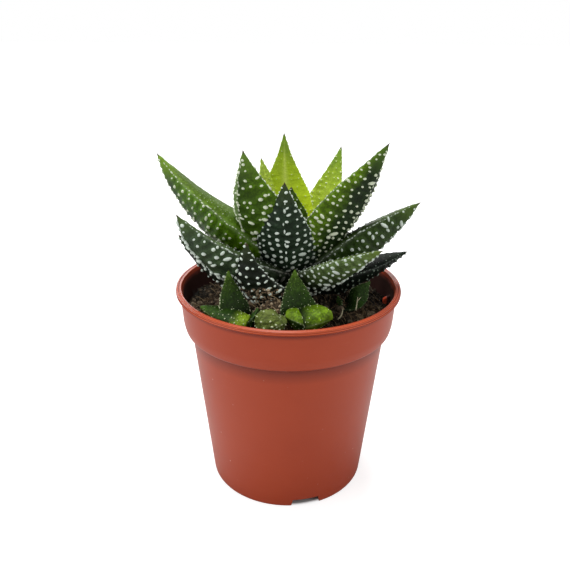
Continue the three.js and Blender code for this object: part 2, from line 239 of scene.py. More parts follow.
def randomNumber(tree, low, high, seed):
    made = tree.nodes.new("FunctionNodeRandomValue")
    made.data_type = "FLOAT"
    for label, value in (("Min", low), ("Max", high)):
        link(tree, value, next(s for s in made.inputs if s.name == label and s.type == "VALUE"))
    link(tree, seed, made.inputs["Seed"])
    return next(s for s in made.outputs if s.type == "VALUE")


def pearlTree():
    # a low rounded pearl on each point, turned to the leaf's skin and sunk halfway into it
    tree, given, end = newTree(
        "pearls", ("Width", "Float", 1.2 * mm), ("Length", "Float", 0.9 * mm), ("Height", "Float", 0.5 * mm),
        ("Spread", "Float", 0.3), ("Seed", "Int", 1),
    )
    ball = node(tree, "GeometryNodeMeshUVSphere", {"Segments": 8, "Rings": 4, "Radius": 0.5})
    sizes = node(tree, "ShaderNodeCombineXYZ", {
        "X": given["Width"], "Y": given["Length"], "Z": given["Height"],
    })
    least = maths(tree, "SUBTRACT", 1, given["Spread"])
    most = maths(tree, "ADD", 1, given["Spread"])
    chance = randomNumber(tree, least, most, given["Seed"])
    grown = node(tree, "ShaderNodeVectorMath", {0: sizes, "Scale": chance}, operation="SCALE")
    own = vectors(tree, "MULTIPLY", grown, named(tree, "size"))
    turn = node(tree, "FunctionNodeAxesToRotation", {0: named(tree, "face"), 1: named(tree, "across")},
                primary_axis="Z", secondary_axis="X")
    place = node(tree, "GeometryNodeInstanceOnPoints", {
        "Points": given["Geometry"], "Instance": ball, "Rotation": turn, "Scale": own,
    })
    return closing(tree, place, given, end)


def scatterTree(name, shape, *sockets):
    # grains or fibres scattered on a surface; shape builds the one that is repeated
    tree, given, end = newTree(
        name, ("Density", "Float", 100000.0), ("Smallest", "Float", 0.4), ("Largest", "Float", 1.2),
        ("Upright", "Float", 0.3), ("Seed", "Int", 1), *sockets,
    )

    def number(low, high):
        return randomNumber(tree, low, high, given["Seed"])

    spread = node(tree, "GeometryNodeDistributePointsOnFaces", {
        "Mesh": given["Geometry"], "Density": given["Density"], "Seed": given["Seed"],
    }, "Points")
    tilt = node(tree, "ShaderNodeCombineXYZ", {
        "X": number(-0.5, 0.5), "Z": number(0.0, 6.283),
        "Y": times(tree, number(-1.0, 1.0), given["Upright"]),
    })
    turn = node(tree, "FunctionNodeEulerToRotation", {0: tilt})
    place = node(tree, "GeometryNodeInstanceOnPoints", {
        "Points": spread, "Instance": shape(tree, given), "Rotation": turn,
        "Scale": number(given["Smallest"], given["Largest"]),
    })
    tinted = node(tree, "GeometryNodeStoreNamedAttribute", {
        "Geometry": place, "Name": "tint", "Value": number(0.0, 1.0),
    }, data_type="FLOAT", domain="INSTANCE")
    return closing(tree, tinted, given, end)


# a grain of soil and a root hair, in millimetres, with the grain's noise scale per metre
grain = {"radius": 0.5, "noiseScale": 2600, "uneven": (1.1, 1.1, 0.7)}
rootHair = {"Start": (-2.2, 0, -0.2), "Middle": (0.2, 0.9, 1.5), "End": (2.4, -0.3, -0.1)}


def grainShape(tree, given):
    # a small uneven lump
    lump = node(tree, "GeometryNodeMeshIcoSphere", {
        "Radius": grain["radius"] * mm, "Subdivisions": given["Fineness"],
    })
    uneven = node(tree, "ShaderNodeTexNoise", {"Scale": grain["noiseScale"], "Detail": 1}, "Color")
    push = vectors(tree, "SUBTRACT", uneven, (0.5, 0.5, 0.5))
    push = vectors(tree, "MULTIPLY", push, Vector(grain["uneven"]) * mm)
    return node(tree, "GeometryNodeSetPosition", {"Geometry": lump, "Offset": push})


def fibreShape(tree, given):
    # a short bent root hair
    ends = {label: Vector(place) * mm for label, place in rootHair.items()}
    bend = node(tree, "GeometryNodeCurveQuadraticBezier", {"Resolution": 5, **ends})
    ring = node(tree, "GeometryNodeCurvePrimitiveCircle", {
        "Resolution": 4, "Radius": given["Thickness"],
    }, "Curve")
    return node(tree, "GeometryNodeCurveToMesh", {"Curve": bend, "Profile Curve": ring, "Fill Caps": True})


def repeated(name, carrier, tree, keepCarrier=False, **values):
    # what the tree makes on the carrier, as a plain mesh of its own
    modifier = carrier.modifiers.new("repeat", "NODES")
    modifier.node_group = tree
    for item in tree.interface.items_tree:
        if item.item_type == "SOCKET" and item.in_out == "INPUT" and item.name in values:
            modifier[item.identifier] = values[item.name]
    modifier.node_group = tree  # set again, so that a material takes hold
    mesh = evaluated(carrier, preserve_all_data_layers=True)
    # the finish alone, without the empty slot before it
    mesh.materials.clear()
    mesh.materials.append(values["Finish"])
    mesh.polygons.foreach_set("material_index", [0] * len(mesh.polygons))
    carrier.modifiers.remove(modifier)
    if not keepCarrier:
        bpy.data.objects.remove(carrier)
    return shown(name, mesh)


def evaluated(thing, **options):
    bpy.context.view_layer.update()
    graph = bpy.context.evaluated_depsgraph_get()
    return bpy.data.meshes.new_from_object(thing.evaluated_get(graph), depsgraph=graph, **options)


# what several finishes use

def srgb(r, g, b):
    def one(v):
        v /= 255
        return v / 12.92 if v <= 0.04045 else ((v + 0.055) / 1.055) ** 2.4

    return (one(r), one(g), one(b), 1)


def newMaterial(name, roughness, gloss):
    # the material, its nodes and its shader's inputs
    material = bpy.data.materials.new(name)
    material.use_nodes = True
    shader = material.node_tree.nodes["Principled BSDF"].inputs
    shader["Roughness"].default_value = roughness
    shader["Specular IOR Level"].default_value = gloss
    return material, material.node_tree, shader


def objectPlace(tree):
    return node(tree, "ShaderNodeTexCoord", {}, "Object")


def cloudy(tree, where, scale, **more):
    return node(tree, "ShaderNodeTexNoise", {"Vector": where, "Scale": scale, **more}, "Fac")


def valueOf(tree, name):
    return node(tree, "ShaderNodeAttribute", {}, "Fac", attribute_name=name)


def ramp(tree, factor, *stops):
    # a stop is its place with a colour or a grey
    made = tree.nodes.new("ShaderNodeValToRGB")
    elements = made.color_ramp.elements
    elements.remove(elements[0])
    for i, (place, colour) in enumerate(stops):
        element = elements[0] if i == 0 else elements.new(place)
        element.position = place
        element.color = colour if isinstance(colour, tuple) else (colour, colour, colour, 1)
    link(tree, factor, made.inputs["Fac"])
    return made.outputs["Color"]


def mixed(tree, factor, a, b, blend="MIX"):
    return node(tree, "ShaderNodeMix", {0: factor, 6: a, 7: b}, 2, data_type="RGBA", blend_type=blend)


def mottleGroup():
    # soft blotches of one colour over another, in the object's own space
    group, given, end = newGroup("ShaderNodeTree", "mottle", [
        ("Colour", "Color", (0.5, 0.5, 0.5, 1)), ("Blotch", "Color", (0.3, 0.3, 0.3, 1)),
        ("Scale", "Float", 200.0), ("Amount", "Float", 0.5),
    ], ("Colour", "Color"))
    clouds = cloudy(group, objectPlace(group), given["Scale"], Detail=4, Roughness=0.6)
    share = times(group, mapped(group, clouds, 0.38, 0.66), given["Amount"])
    link(group, mixed(group, share, given["Colour"], given["Blotch"]), end["Colour"])
    return group


def reliefGroup():
    # a fine uneven grain, as a height for a Bump node
    inputs = [("Scale", "Float", 1500.0), ("Stretch", "Vector", (1, 1, 1))]
    group, given, end = newGroup("ShaderNodeTree", "relief", inputs, ("Height", "Float"))
    stretched = vectors(group, "MULTIPLY", objectPlace(group), given["Stretch"])
    link(group, cloudy(group, stretched, given["Scale"], Detail=3), end["Height"])
    return group


mottle = mottleGroup()
relief = reliefGroup()


def placed(tree, group, **values):
    made = tree.nodes.new("ShaderNodeGroup")
    made.node_tree = group
    for label, value in values.items():
        link(tree, value, made.inputs[label])
    return made.outputs[0]


def grained(tree, shader, scale, strength, distance):
    height = placed(tree, relief, Scale=scale)
    bump = node(tree, "ShaderNodeBump", {"Strength": strength, "Distance": distance, "Height": height})
    link(tree, bump, shader["Normal"])


# the finishes of the leaves and their pearls

def leafFinish(name, look):
    # the back runs from its painted shade colour to its painted lit one by "glow", the upper face from foot
    # to tip;
    # the skin gets painted shade in the hollows between the pearls, its foot is darker, partly its own colour
    # and partly painted shade, and its tip is dry
    material, tree, shader = newMaterial(name, look["roughness"], look["gloss"])
    along = valueOf(tree, "along")
    clouds = cloudy(tree, objectPlace(tree), look["blotchScale"], Detail=3)
    shift = mapped(tree, clouds, *look["blotchBand"], -look["blotchAmount"], look["blotchAmount"])
    back = ramp(tree, maths(tree, "ADD", valueOf(tree, "glow"), shift), (0, look["shade"]), (1, look["lit"]))
    face = ramp(tree, along, *zip(look["faceStops"], (look["faceFoot"], look["faceMiddle"], look["faceTip"])))
    face = placed(tree, mottle, Scale=look["blotchScale"] * look["faceBlotchFiner"],
                  Amount=look["faceBlotchAmount"], Colour=face, Blotch=look["faceBlotch"])
    coat = mixed(tree, valueOf(tree, "upper"), back, face)
    coat = mixed(tree, times(tree, valueOf(tree, "midline"), look["midline"]), coat, look["lit"])
    # fine pale freckles, painted shade in the hollows between the swellings under the pearls, and the darker
    # foot, partly its own colour and partly painted shade
    fine = placed(tree, relief, Scale=look["freckleScale"])
    freckles = zip(look["freckleBand"], (1 - look["freckle"], 1 + look["freckle"]))
    hollows = ramp(tree, valueOf(tree, "swell"), (0, 1 - look["hollow"]), (look["hollowEnd"], 1.0))
    foot = ramp(tree, along, (look["footStart"], look["foot"]), (look["footEnd"], 1.0))
    coat = mixed(tree, 1.0, coat, ramp(tree, fine, *freckles), "MULTIPLY")
    coat = mixed(tree, 1.0, coat, hollows, "MULTIPLY")
    coat = mixed(tree, times(tree, valueOf(tree, "margin"), look["marginStrength"]), coat, look["margin"])
    coat = mixed(tree, 1.0, coat, foot, "MULTIPLY")
    coat = mixed(tree, ramp(tree, along, *zip(look["tipBand"], (0, 1))), coat, look["tip"])
    coat = mixed(tree, ramp(tree, along, *zip(look["dryBand"], (0, 1))), coat, look["dry"])
    link(tree, coat, shader["Base Color"])
    grained(tree, shader, *look["grain"])
    return material


def pearlFinish(name, colour, blotch):
    # darker towards the leaf's foot, partly soil stain and partly painted shade
    look = pearlSurface
    material, tree, shader = newMaterial(name, look["roughness"], look["gloss"])
    coat = placed(tree, mottle, Scale=look["blotchScale"], Amount=look["blotchAmount"],
                  Colour=srgb(*colour), Blotch=srgb(*blotch))
    link(tree, mixed(tree, valueOf(tree, "cleanAndLit"), look["stainAndShade"], coat), shader["Base Color"])
    grained(tree, shader, *look["grain"])
    return material


# every leaf's colours, partly its own and partly painted shade and painted light: the back in painted shade
# and painted light, and the upper face at its foot, middle and tip; the low and under leaves are darker with
# painted shade
leafPalette = {
    "leaf_left": ((34, 56, 38), (92, 134, 16), (84, 140, 0), (108, 146, 24), (112, 144, 42)),
    "leaf_low_left": ((44, 60, 44), (76, 98, 56), (24, 32, 18), (80, 102, 58), (74, 94, 50)),
    "leaf_under_left": ((20, 30, 22), (36, 50, 28), (44, 60, 32), (52, 70, 38), (48, 64, 34)),
    "leaf_inner_left": ((38, 60, 18), (88, 126, 8), (96, 136, 20), (104, 134, 50), (92, 120, 44)),
    "leaf_front": ((24, 38, 26), (44, 64, 42), (40, 58, 30), (48, 66, 36), (52, 66, 30)),
    "leaf_inner_right": ((32, 51, 20), (128, 172, 4), (120, 150, 20), (104, 136, 40), (76, 104, 34)),
    "leaf_right": ((28, 44, 24), (62, 88, 30), (60, 84, 32), (70, 96, 38), (76, 98, 36)),
    "leaf_low_right": ((25, 37, 22), (112, 138, 78), (60, 84, 34), (92, 118, 50), (92, 112, 44)),
    "leaf_under_right": ((20, 30, 22), (34, 46, 34), (12, 20, 14), (16, 26, 18), (22, 32, 22)),
    "leaf_low_front": ((18, 25, 18), (34, 44, 28), (30, 41, 22), (38, 49, 28), (43, 54, 28)),
    "leaf_back_right": ((112, 140, 20), (204, 226, 90), (222, 240, 30), (198, 222, 66), (112, 146, 42)),
    "leaf_top_back": ((96, 126, 20), (232, 244, 130), (226, 244, 0), (200, 226, 44), (118, 148, 48)),
    "leaf_heart_back": ((140, 172, 30), (222, 240, 96), (226, 244, 50), (218, 240, 84), (164, 192, 68)),
    "leaf_heart_front": ((40, 70, 14), (96, 132, 14), (110, 146, 14), (90, 124, 20), (60, 84, 24)),
    "leaf_back_left": ((50, 72, 30), (104, 132, 56), (100, 136, 40), (110, 136, 60), (100, 124, 54)),
    "leaf_back": ((26, 40, 24), (56, 80, 30), (66, 92, 34), (80, 104, 44), (72, 94, 38)),
    "leaf_far_right": ((20, 32, 22), (40, 58, 30), (50, 70, 32), (60, 80, 40), (56, 74, 36)),
    "leaf_under_back": ((22, 34, 24), (40, 56, 30), (48, 66, 34), (58, 78, 40), (52, 70, 36)),
    "leaf_under_back_left": ((22, 34, 24), (40, 56, 30), (48, 66, 34), (58, 78, 40), (52, 70, 36)),
}
youngPalette = {
    "upright": ((34, 54, 10), (58, 86, 16), (26, 44, 8), (46, 76, 12), (90, 124, 36)),
    "lying": ((28, 50, 8), (92, 124, 20), (150, 182, 40), (36, 64, 12), (62, 96, 22)),
    "olive": ((70, 88, 26), (112, 126, 60), (70, 88, 28), (100, 116, 44), (110, 124, 60)),
    "bright": ((34, 58, 4), (126, 160, 20), (36, 60, 4), (116, 152, 14), (124, 158, 36)),
    "dim": ((42, 66, 24), (70, 100, 40), (42, 64, 22), (58, 90, 32), (74, 106, 46)),
}
# what all leaves share, then what differs; a grain is its scale, strength and depth
leafSurface = {
    "blotchScale": 130.0, "blotchAmount": 0.14, "blotchBand": (0.3, 0.7),
    "faceStops": (0.1, 0.5, 0.95), "faceBlotchFiner": 1.6, "faceBlotchAmount": 0.55, "midline": 0.0,
    # the hollows get painted shade; the foot is darker, partly its own colour and partly painted shade
    "freckle": 0.24, "freckleScale": 1500.0, "freckleBand": (0.42, 0.66), "hollow": 0.5, "hollowEnd": 0.7,
    "foot": 0.3, "footStart": 0.04, "footEnd": 0.34, "marginStrength": 0.22, "marginLight": 0.22,
    "tipBand": (0.82, 0.97), "dryBand": (0.97, 0.99), "dry": srgb(62, 46, 32),
    "roughness": 0.46, "gloss": 0.13, "grain": (1900.0, 0.7, 0.25 * mm),
}
leafOwn = {
    "leaf_top_back": {
        "midline": 0.5, "hollow": 0.2, "foot": 0.9, "freckle": 0.07, "faceBlotch": srgb(176, 206, 20),
    },
    "leaf_back_right": {
        "midline": 0.15, "hollow": 0.3, "foot": 0.8, "freckle": 0.12, "faceBlotch": srgb(164, 196, 30),
    },
    "leaf_heart_back": {"midline": 0.3, "hollow": 0.2, "foot": 0.9, "faceBlotch": srgb(176, 204, 50)},
    "leaf_heart_front": {"foot": 0.8},
    "leaf_left": {"foot": 0.8, "faceBlotch": srgb(76, 104, 26)},
    "leaf_inner_right": {"foot": 0.2},
    "leaf_low_left": {"foot": 0.12, "footEnd": 0.5},
    "leaf_low_right": {"foot": 0.2, "footEnd": 0.5},
    "leaf_front": {"foot": 0.1, "footEnd": 0.42},
    "leaf_inner_left": {"marginStrength": 0.75, "margin": srgb(112, 138, 82)},
    "leaf_under_right": {"gloss": 0.06, "roughness": 0.6, "marginStrength": 0.15},
}
youngSurface = {"hollow": 0.3, "freckle": 0.35, "blotchScale": 260.0, "roughness": 0.5, "foot": 0.7}
youngOwn = {
    "bright": {"foot": 0.12},
    "lying": {"foot": 1.0, "faceStops": (0.08, 0.32, 0.9)},
    "dim": {"foot": 0.3},
}
pearlSurface = {
    # the pearls' colour at the leaf's foot is partly soil stain and partly painted shade
    "roughness": 0.5, "gloss": 0.3, "blotchScale": 900.0, "blotchAmount": 0.55, "stainAndShade": srgb(66, 60, 46),
    "grain": (4200.0, 0.3, 0.08 * mm),
}
# a pearl's colour and its blotches
pearlPalette = {
    "old": ((206, 216, 206), (168, 186, 168)),
    "mid": ((214, 220, 198), (178, 194, 150)),
    "young": ((224, 230, 186), (196, 212, 130)),
    "shaded": ((128, 142, 128), (96, 112, 96)),
    "offset": ((196, 204, 168), (150, 168, 110)),
}


def leafLook(palette, *own):
    shade, lit, faceFoot, faceMiddle, faceTip = (srgb(*colour) for colour in palette)
    margin = tuple(c + (1 - c) * leafSurface["marginLight"] for c in faceTip)
    look = {
        **leafSurface, "shade": shade, "lit": lit, "faceFoot": faceFoot, "faceMiddle": faceMiddle,
        "faceTip": faceTip, "faceBlotch": shade, "margin": margin, "tip": faceTip,
    }
    for more in own:
        look.update(more)
    return look


leafFinishes = {
    name: leafFinish(name.replace("leaf", "skin"), leafLook(palette, leafOwn.get(name, {})))
    for name, palette in leafPalette.items()
}
youngFinishes = {
    kind: leafFinish("skin_young_" + kind, leafLook(palette, youngSurface, youngOwn.get(kind, {})))
    for kind, palette in youngPalette.items()
}
pearlFinishes = {kind: pearlFinish("pearl_" + kind, *colours) for kind, colours in pearlPalette.items()}


# the pot: rolled lip, collar, shoulder, tapered wall, foot ring with notches, drain holes, stacking ribs

# in millimetres and degrees
pot = {
    "rim": 42.5, "height": 81.0, "foot": 30.6, "wall": 1.2, "lipHeight": 1.7, "lipWidth": 2.1,
    "collarTop": 40.9, "collarFoot": 40.1, "collarFootHeight": 67.8, "shoulder": 37.3, "shoulderHeight": 64.3,
    "recess": 3.4, "footWidth": 1.7, "sides": 224, "sharpFrom": 38,
    "notches": 3, "notchAzimuth": -76, "notchBottom": 11.6, "notchTop": 10.2, "notchHeight": 3.2,
    "drains": 5, "drainCircle": 15, "drainRadius": 1.8, "drainSides": 32, "drainHeights": (1, 7),
    "ribs": 3, "ribAzimuth": 3, "ribWidth": 1.5, "ribDepth": 2.0, "ribTop": 75.2,
    "ribFoot": (36.0, 36.3), "ribSlope": 1.6,
}
lipFoot = pot["height"] - pot["lipHeight"]
plastic = {
    "colour": srgb(168, 64, 32), "shade": srgb(158, 57, 29), "roughness": 0.36, "gloss": 0.34,
    "blotchScale": 26.0, "blotchAmount": 0.5, "grain": (1400.0, 0.12, 0.1 * mm),
    "scuff": srgb(176, 80, 54), "scuffScale": 240.0, "scuffLength": 9, "scuffStrength": 0.35,
    "speck": srgb(214, 170, 156), "speckScale": 330, "speckPatches": 70, "speckStrength": 0.7,
    # painted shadow under the lip and under the collar
    "paintedShadow": srgb(108, 36, 22), "shadowUnderLip": 0.8, "shadowUnderCollar": 0.78,
    # painted highlights and painted shade in the lip's turned lines
    "lipHighlight": srgb(226, 116, 68), "highlightStrength": 0.55, "lipShade": srgb(122, 34, 20), "lipShadeStrength": 0.75,
    "lipInside": 40.2, "linePitch": 0.72,
    "film": srgb(70, 52, 49), "filmStrength": 0.96, "filmRadius": 39.8, "filmFoot": 69,
    "filmTop": 80.2, "filmFade": 2.5, "filmSpread": 1.4,
    # painted light on the ribs' inner edges, which are also dull like the soil film
    "ribLight": srgb(236, 92, 60), "dullRoughness": 0.9, "dullGloss": 0.02,
}


def rising(tree, value, start, end, most=1.0):
    # 0 up to start and most from end on, which are in millimetres
    return mapped(tree, value, start * mm, end * mm, 0, most)


def speckled(tree, where, coat):
    # pale scuffs, and specks of dust in patches
    p = plastic
    scuffs = placed(tree, relief, Scale=p["scuffScale"], Stretch=(1, 1, p["scuffLength"]))
    worn = mixed(tree, ramp(tree, scuffs, (0, 0), (0.66, 0), (0.8, p["scuffStrength"])), coat, p["scuff"])
    specks = node(tree, "ShaderNodeTexVoronoi", {
        "Vector": where, "Scale": p["speckScale"], "Randomness": 1,
    }, "Distance")
    dots = ramp(tree, specks, (0, 1), (0.07, 1), (0.12, 0))
    clouds = cloudy(tree, where, p["speckPatches"])
    patches = ramp(tree, clouds, (0, 0), (0.6, 0), (0.68, p["speckStrength"]))
    return mixed(tree, mixed(tree, 1.0, dots, patches, "MULTIPLY"), worn, p["speck"])


def lipLines(tree, radius, height, coat):
    # fine turned lines round the lip: painted highlights on them and painted shade between them
    onward = maths(tree, "SUBTRACT", radius, height)
    wave = maths(tree, "SINE", times(tree, onward, 2 * math.pi / (plastic["linePitch"] * mm)))
    inside = plastic["lipInside"]
    onLip = times(tree, rising(tree, height, lipFoot, lipFoot + 0.1),
                  rising(tree, radius, inside, inside + 0.3))
    dark = times(tree, onLip, mapped(tree, wave, 0.0, 0.8, 0, plastic["lipShadeStrength"]))
    pale = times(tree, onLip, mapped(tree, wave, -0.2, -0.95, 0, plastic["highlightStrength"]))
    return mixed(tree, dark, mixed(tree, pale, coat, plastic["lipHighlight"]), plastic["lipShade"])


def paintedShadows(tree, height, coat):
    # painted shadow in the crease under the lip and under the collar
    fold = pot["shoulderHeight"]
    underLip = times(tree, rising(tree, height, lipFoot - 2.0, lipFoot - 0.7, plastic["shadowUnderLip"]),
                     rising(tree, height, lipFoot + 0.25, lipFoot))
    underCollar = times(tree, rising(tree, height, fold - 6.5, fold - 0.9, plastic["shadowUnderCollar"]),
                        rising(tree, height, fold + 0.9, fold + 0.3))
    return mixed(tree, underCollar, mixed(tree, underLip, coat, plastic["paintedShadow"]), plastic["paintedShadow"])


def soilFilm(tree, radius, height, aboveShoulder):
    # a film of soil on the inside of the collar, thicker lower down, and none on the ribs
    wall, top, spread = plastic["filmRadius"], plastic["filmTop"], plastic["filmSpread"] * mm
    uneven = mapped(tree, placed(tree, relief, Scale=160.0), 0.2, 0.9, -spread, spread)
    low = rising(tree, maths(tree, "ADD", height, uneven), top, top - plastic["filmFade"])
    onWall = times(tree, rising(tree, radius, wall + 0.35, wall - 0.15), low)
    offRibs = times(tree, rising(tree, radius, wall - 2.0, wall - 1.3), aboveShoulder)
    return times(tree, times(tree, onWall, offRibs), plastic["filmStrength"])


def plasticFinish():
    material, tree, shader = newMaterial("pot_plastic", plastic["roughness"], plastic["gloss"])
    where = objectPlace(tree)
    height = node(tree, "ShaderNodeSeparateXYZ", {0: where}, "Z")
    radius = vectors(tree, "LENGTH", vectors(tree, "MULTIPLY", where, (1, 1, 0)), out="Value")
    coat = placed(tree, mottle, Scale=plastic["blotchScale"], Amount=plastic["blotchAmount"],
                  Colour=plastic["colour"], Blotch=plastic["shade"])
    coat = paintedShadows(tree, height, lipLines(tree, radius, height, speckled(tree, where, coat)))
    # painted light: the ribs' inner edges are brighter red
    wall, foot = plastic["filmRadius"], plastic["filmFoot"]
    aboveShoulder = rising(tree, height, foot, foot + 0.5)
    onRibs = times(tree, rising(tree, radius, wall - 1.6, wall - 1.9), aboveShoulder)
    film = soilFilm(tree, radius, height, aboveShoulder)
    coat = mixed(tree, film, mixed(tree, onRibs, coat, plastic["ribLight"]), plastic["film"])
    link(tree, coat, shader["Base Color"])
    # the soil film and the ribs' inner edges, bright with painted light, have no gloss
    dulled = maths(tree, "MAXIMUM", film, onRibs)
    roughness = mapped(tree, dulled, 0, 0.9, plastic["roughness"], plastic["dullRoughness"])
    gloss = mapped(tree, dulled, 0, 0.9, plastic["gloss"], plastic["dullGloss"])
    link(tree, roughness, shader["Roughness"])
    link(tree, gloss, shader["Specular IOR Level"])
    grained(tree, shader, *plastic["grain"])
    return material


potPlastic = plasticFinish()

earthSurface = {
    # the near-black colour is painted shade, used away from the lit places
    "gloss": 0.1, "blotchScale": 700.0, "blotchAmount": 0.6, "paintedShade": srgb(9, 8, 7),
    "grain": (2200.0, 0.8, 0.3 * mm),
}
# the lit places at the front, where the soil keeps its own colour; away from them it gets painted shade: x,
# y, z and radius, in millimetres
litPlaces = [(-28, -8, 78, 16), (-5, -25, 82, 10), (31, -12, 76, 9)]
# the stops of the tint, the blotches, the roughness, and how much painted shade it gets away from the lit
# places
earths = {
    "compost": ([(0, (44, 36, 28)), (1, (110, 93, 74))], (22, 18, 14), 0.95, 0.82),
    "crumbs": (
        [(0, (38, 32, 25)), (0.4, (98, 84, 66)), (0.8, (156, 134, 106)), (0.96, (200, 180, 152))],
        (34, 28, 21), 0.9, 0.82,
    ),
    "fibre": ([(0, (84, 66, 46)), (0.6, (140, 116, 84)), (1, (186, 164, 128))], (70, 52, 36), 0.8, 0.45),
    "straw": ([(0, (196, 190, 160)), (1, (214, 208, 178))], (160, 148, 110), 0.7, 0),
    "hair": ([(0, (34, 36, 34)), (1, (66, 68, 64))], (30, 30, 28), 0.8, 0),
    "grit": ([(0, (200, 198, 190)), (1, (228, 226, 220))], (150, 144, 134), 0.8, 0),
    "bark": ([(0, (104, 98, 52)), (1, (120, 110, 60))], (62, 52, 30), 0.8, 0),
}


def earthFinish(name, stops, blotch, roughness, shadeAway):
    # its own crumbly colour in the places that the light reaches, and dark painted shade elsewhere
    look = earthSurface
    material, tree, shader = newMaterial(name, roughness, look["gloss"])
    tone = ramp(tree, valueOf(tree, "tint"), *[(place, srgb(*colour)) for place, colour in stops])
    coat = placed(tree, mottle, Scale=look["blotchScale"], Amount=look["blotchAmount"],
                  Colour=tone, Blotch=srgb(*blotch))
    # the share of the lit places, where there is no painted shade
    where, dry = objectPlace(tree), 0.0
    for *middle, radius in litPlaces:
        away = vectors(tree, "DISTANCE", where, Vector(middle) * mm, out="Value")
        dry = maths(tree, "MAXIMUM", dry, rising(tree, away, radius * 1.5, radius * 0.6))
    paintedShade = mapped(tree, dry, 0, 1, shadeAway, 0)
    link(tree, mixed(tree, paintedShade, coat, look["paintedShade"]), shader["Base Color"])
    grained(tree, shader, *look["grain"])
    return material


earthFinishes = {name: earthFinish(name, *row) for name, row in earths.items()}
print("finishes made")


def outerRadius(height):
    # of the tapered wall, or of the collar above it
    if height < pot["collarFootHeight"]:
        return pot["foot"] + (pot["shoulder"] - pot["foot"]) * height / pot["shoulderHeight"]
    share = (height - pot["collarFootHeight"]) / (lipFoot - pot["collarFootHeight"])
    return pot["collarFoot"] + share * (pot["collarTop"] - pot["collarFoot"])


def potProfile():
    # radius, height and rounding of each corner, from the middle of the underside round to the floor
    p = pot
    floorTop = p["recess"] + p["wall"]
    footInside = p["foot"] - p["footWidth"]
    return rounded([
        (0, p["recess"], 0),
        (footInside, p["recess"], 0.4),
        (footInside, 0, 0.3),
        (p["foot"], 0, 0.7),
        (p["foot"] + 0.25, 2.2, 0.3),
        (p["shoulder"], p["shoulderHeight"], 0.2),
        (p["shoulder"] + 2.0, p["shoulderHeight"] + 0.25, 1.1),
        (p["collarFoot"], p["collarFootHeight"], 1.0),
        (p["collarTop"], lipFoot - 0.55, 0.2),
        (p["collarTop"] - 0.5, lipFoot + 0.1, 0.15),
        (p["rim"] - 0.5, lipFoot - 0.1, 0.3),
        (p["rim"], lipFoot + 0.3, 0.25),
        *[(p["rim"] - 0.34 * (i % 2 == 0), lipFoot + 0.55 + 0.3 * i, 0.12) for i in range(3)],
        (p["rim"] - 0.15, p["height"] - 0.15, 0.25),
        *[(p["rim"] - 0.5 - 0.36 * i, p["height"] - 0.3 * (i % 2 == 0), 0.14) for i in range(4)],
        (p["rim"] - p["lipWidth"], p["height"] - 0.05, 0.5),
        (p["collarTop"] - p["wall"], lipFoot - 0.9, 0.8),
        (p["collarFoot"] - p["wall"], p["collarFootHeight"] + 0.6, 1.4),
        (p["shoulder"] - p["wall"], p["shoulderHeight"] + 0.8, 1.0),
        (outerRadius(floorTop + 1.5) - p["wall"], floorTop + 1.5, 0.8),
        (outerRadius(floorTop) - p["wall"] - 1.5, floorTop, 0.8),
        (0, floorTop, 0),
    ])


def block(name, reach, half, heights, azimuth, taper=0.0):
    # a box on the x axis, narrower at its top by taper, turned about the pot's axis
    points = [
        (x, y * (1 - taper * (z == heights[1])), z)
        for z in heights for y in (-half, half) for x in reach
    ]
    faces = [(0, 1, 3, 2), (4, 6, 7, 5), (0, 4, 5, 1), (2, 3, 7, 6), (0, 2, 6, 4), (1, 5, 7, 3)]
    thing = addMesh(name, points, faces, [potPlastic], flat=True)
    thing.data.transform(Matrix.Rotation(math.radians(azimuth), 4, "Z"))
    return thing


def moved(thing, *place):
    # by x, y and z in millimetres
    thing.data.transform(Matrix.Translation(Vector(place) * mm))
    return thing


def cutAway(target, tools):
    for tool in tools:
        fixNormals(tool)
        cut = target.modifiers.new("cut", "BOOLEAN")
        cut.operation = "DIFFERENCE"
        cut.solver = "EXACT"
        cut.object = tool
        made = evaluated(target)
        target.modifiers.remove(cut)
        target.data = made
        bpy.data.objects.remove(tool)


def makeDrain(number):
    p = pot
    turn = 2 * math.pi * number / p["drains"]
    low, high = p["drainHeights"]
    profile = [(0, low), (p["drainRadius"], low), (p["drainRadius"], high), (0, high)]
    hole = lathe(f"drain{number}", profile, p["drainSides"], [potPlastic])
    # turned a little, so that no corner lies on an edge of the floor
    hole.data.transform(Matrix.Rotation(0.05, 4, "Z"))
    return moved(hole, math.cos(turn) * p["drainCircle"], math.sin(turn) * p["drainCircle"], 0)


def slopeRib(rib):
    # the rib's foot ends inside the tapered wall, and its top slopes inwards
    inner = pot["collarFoot"] - pot["wall"]
    for v in rib.data.vertices:
        radius = math.hypot(v.co.x, v.co.y)
        outside = radius > inner * mm
        if v.co.z < pot["collarFootHeight"] * mm:
            v.co.x *= pot["ribFoot"][outside] * mm / radius
            v.co.y *= pot["ribFoot"][outside] * mm / radius
        elif not outside:
            v.co.z -= pot["ribSlope"] * mm
    fixNormals(rib)


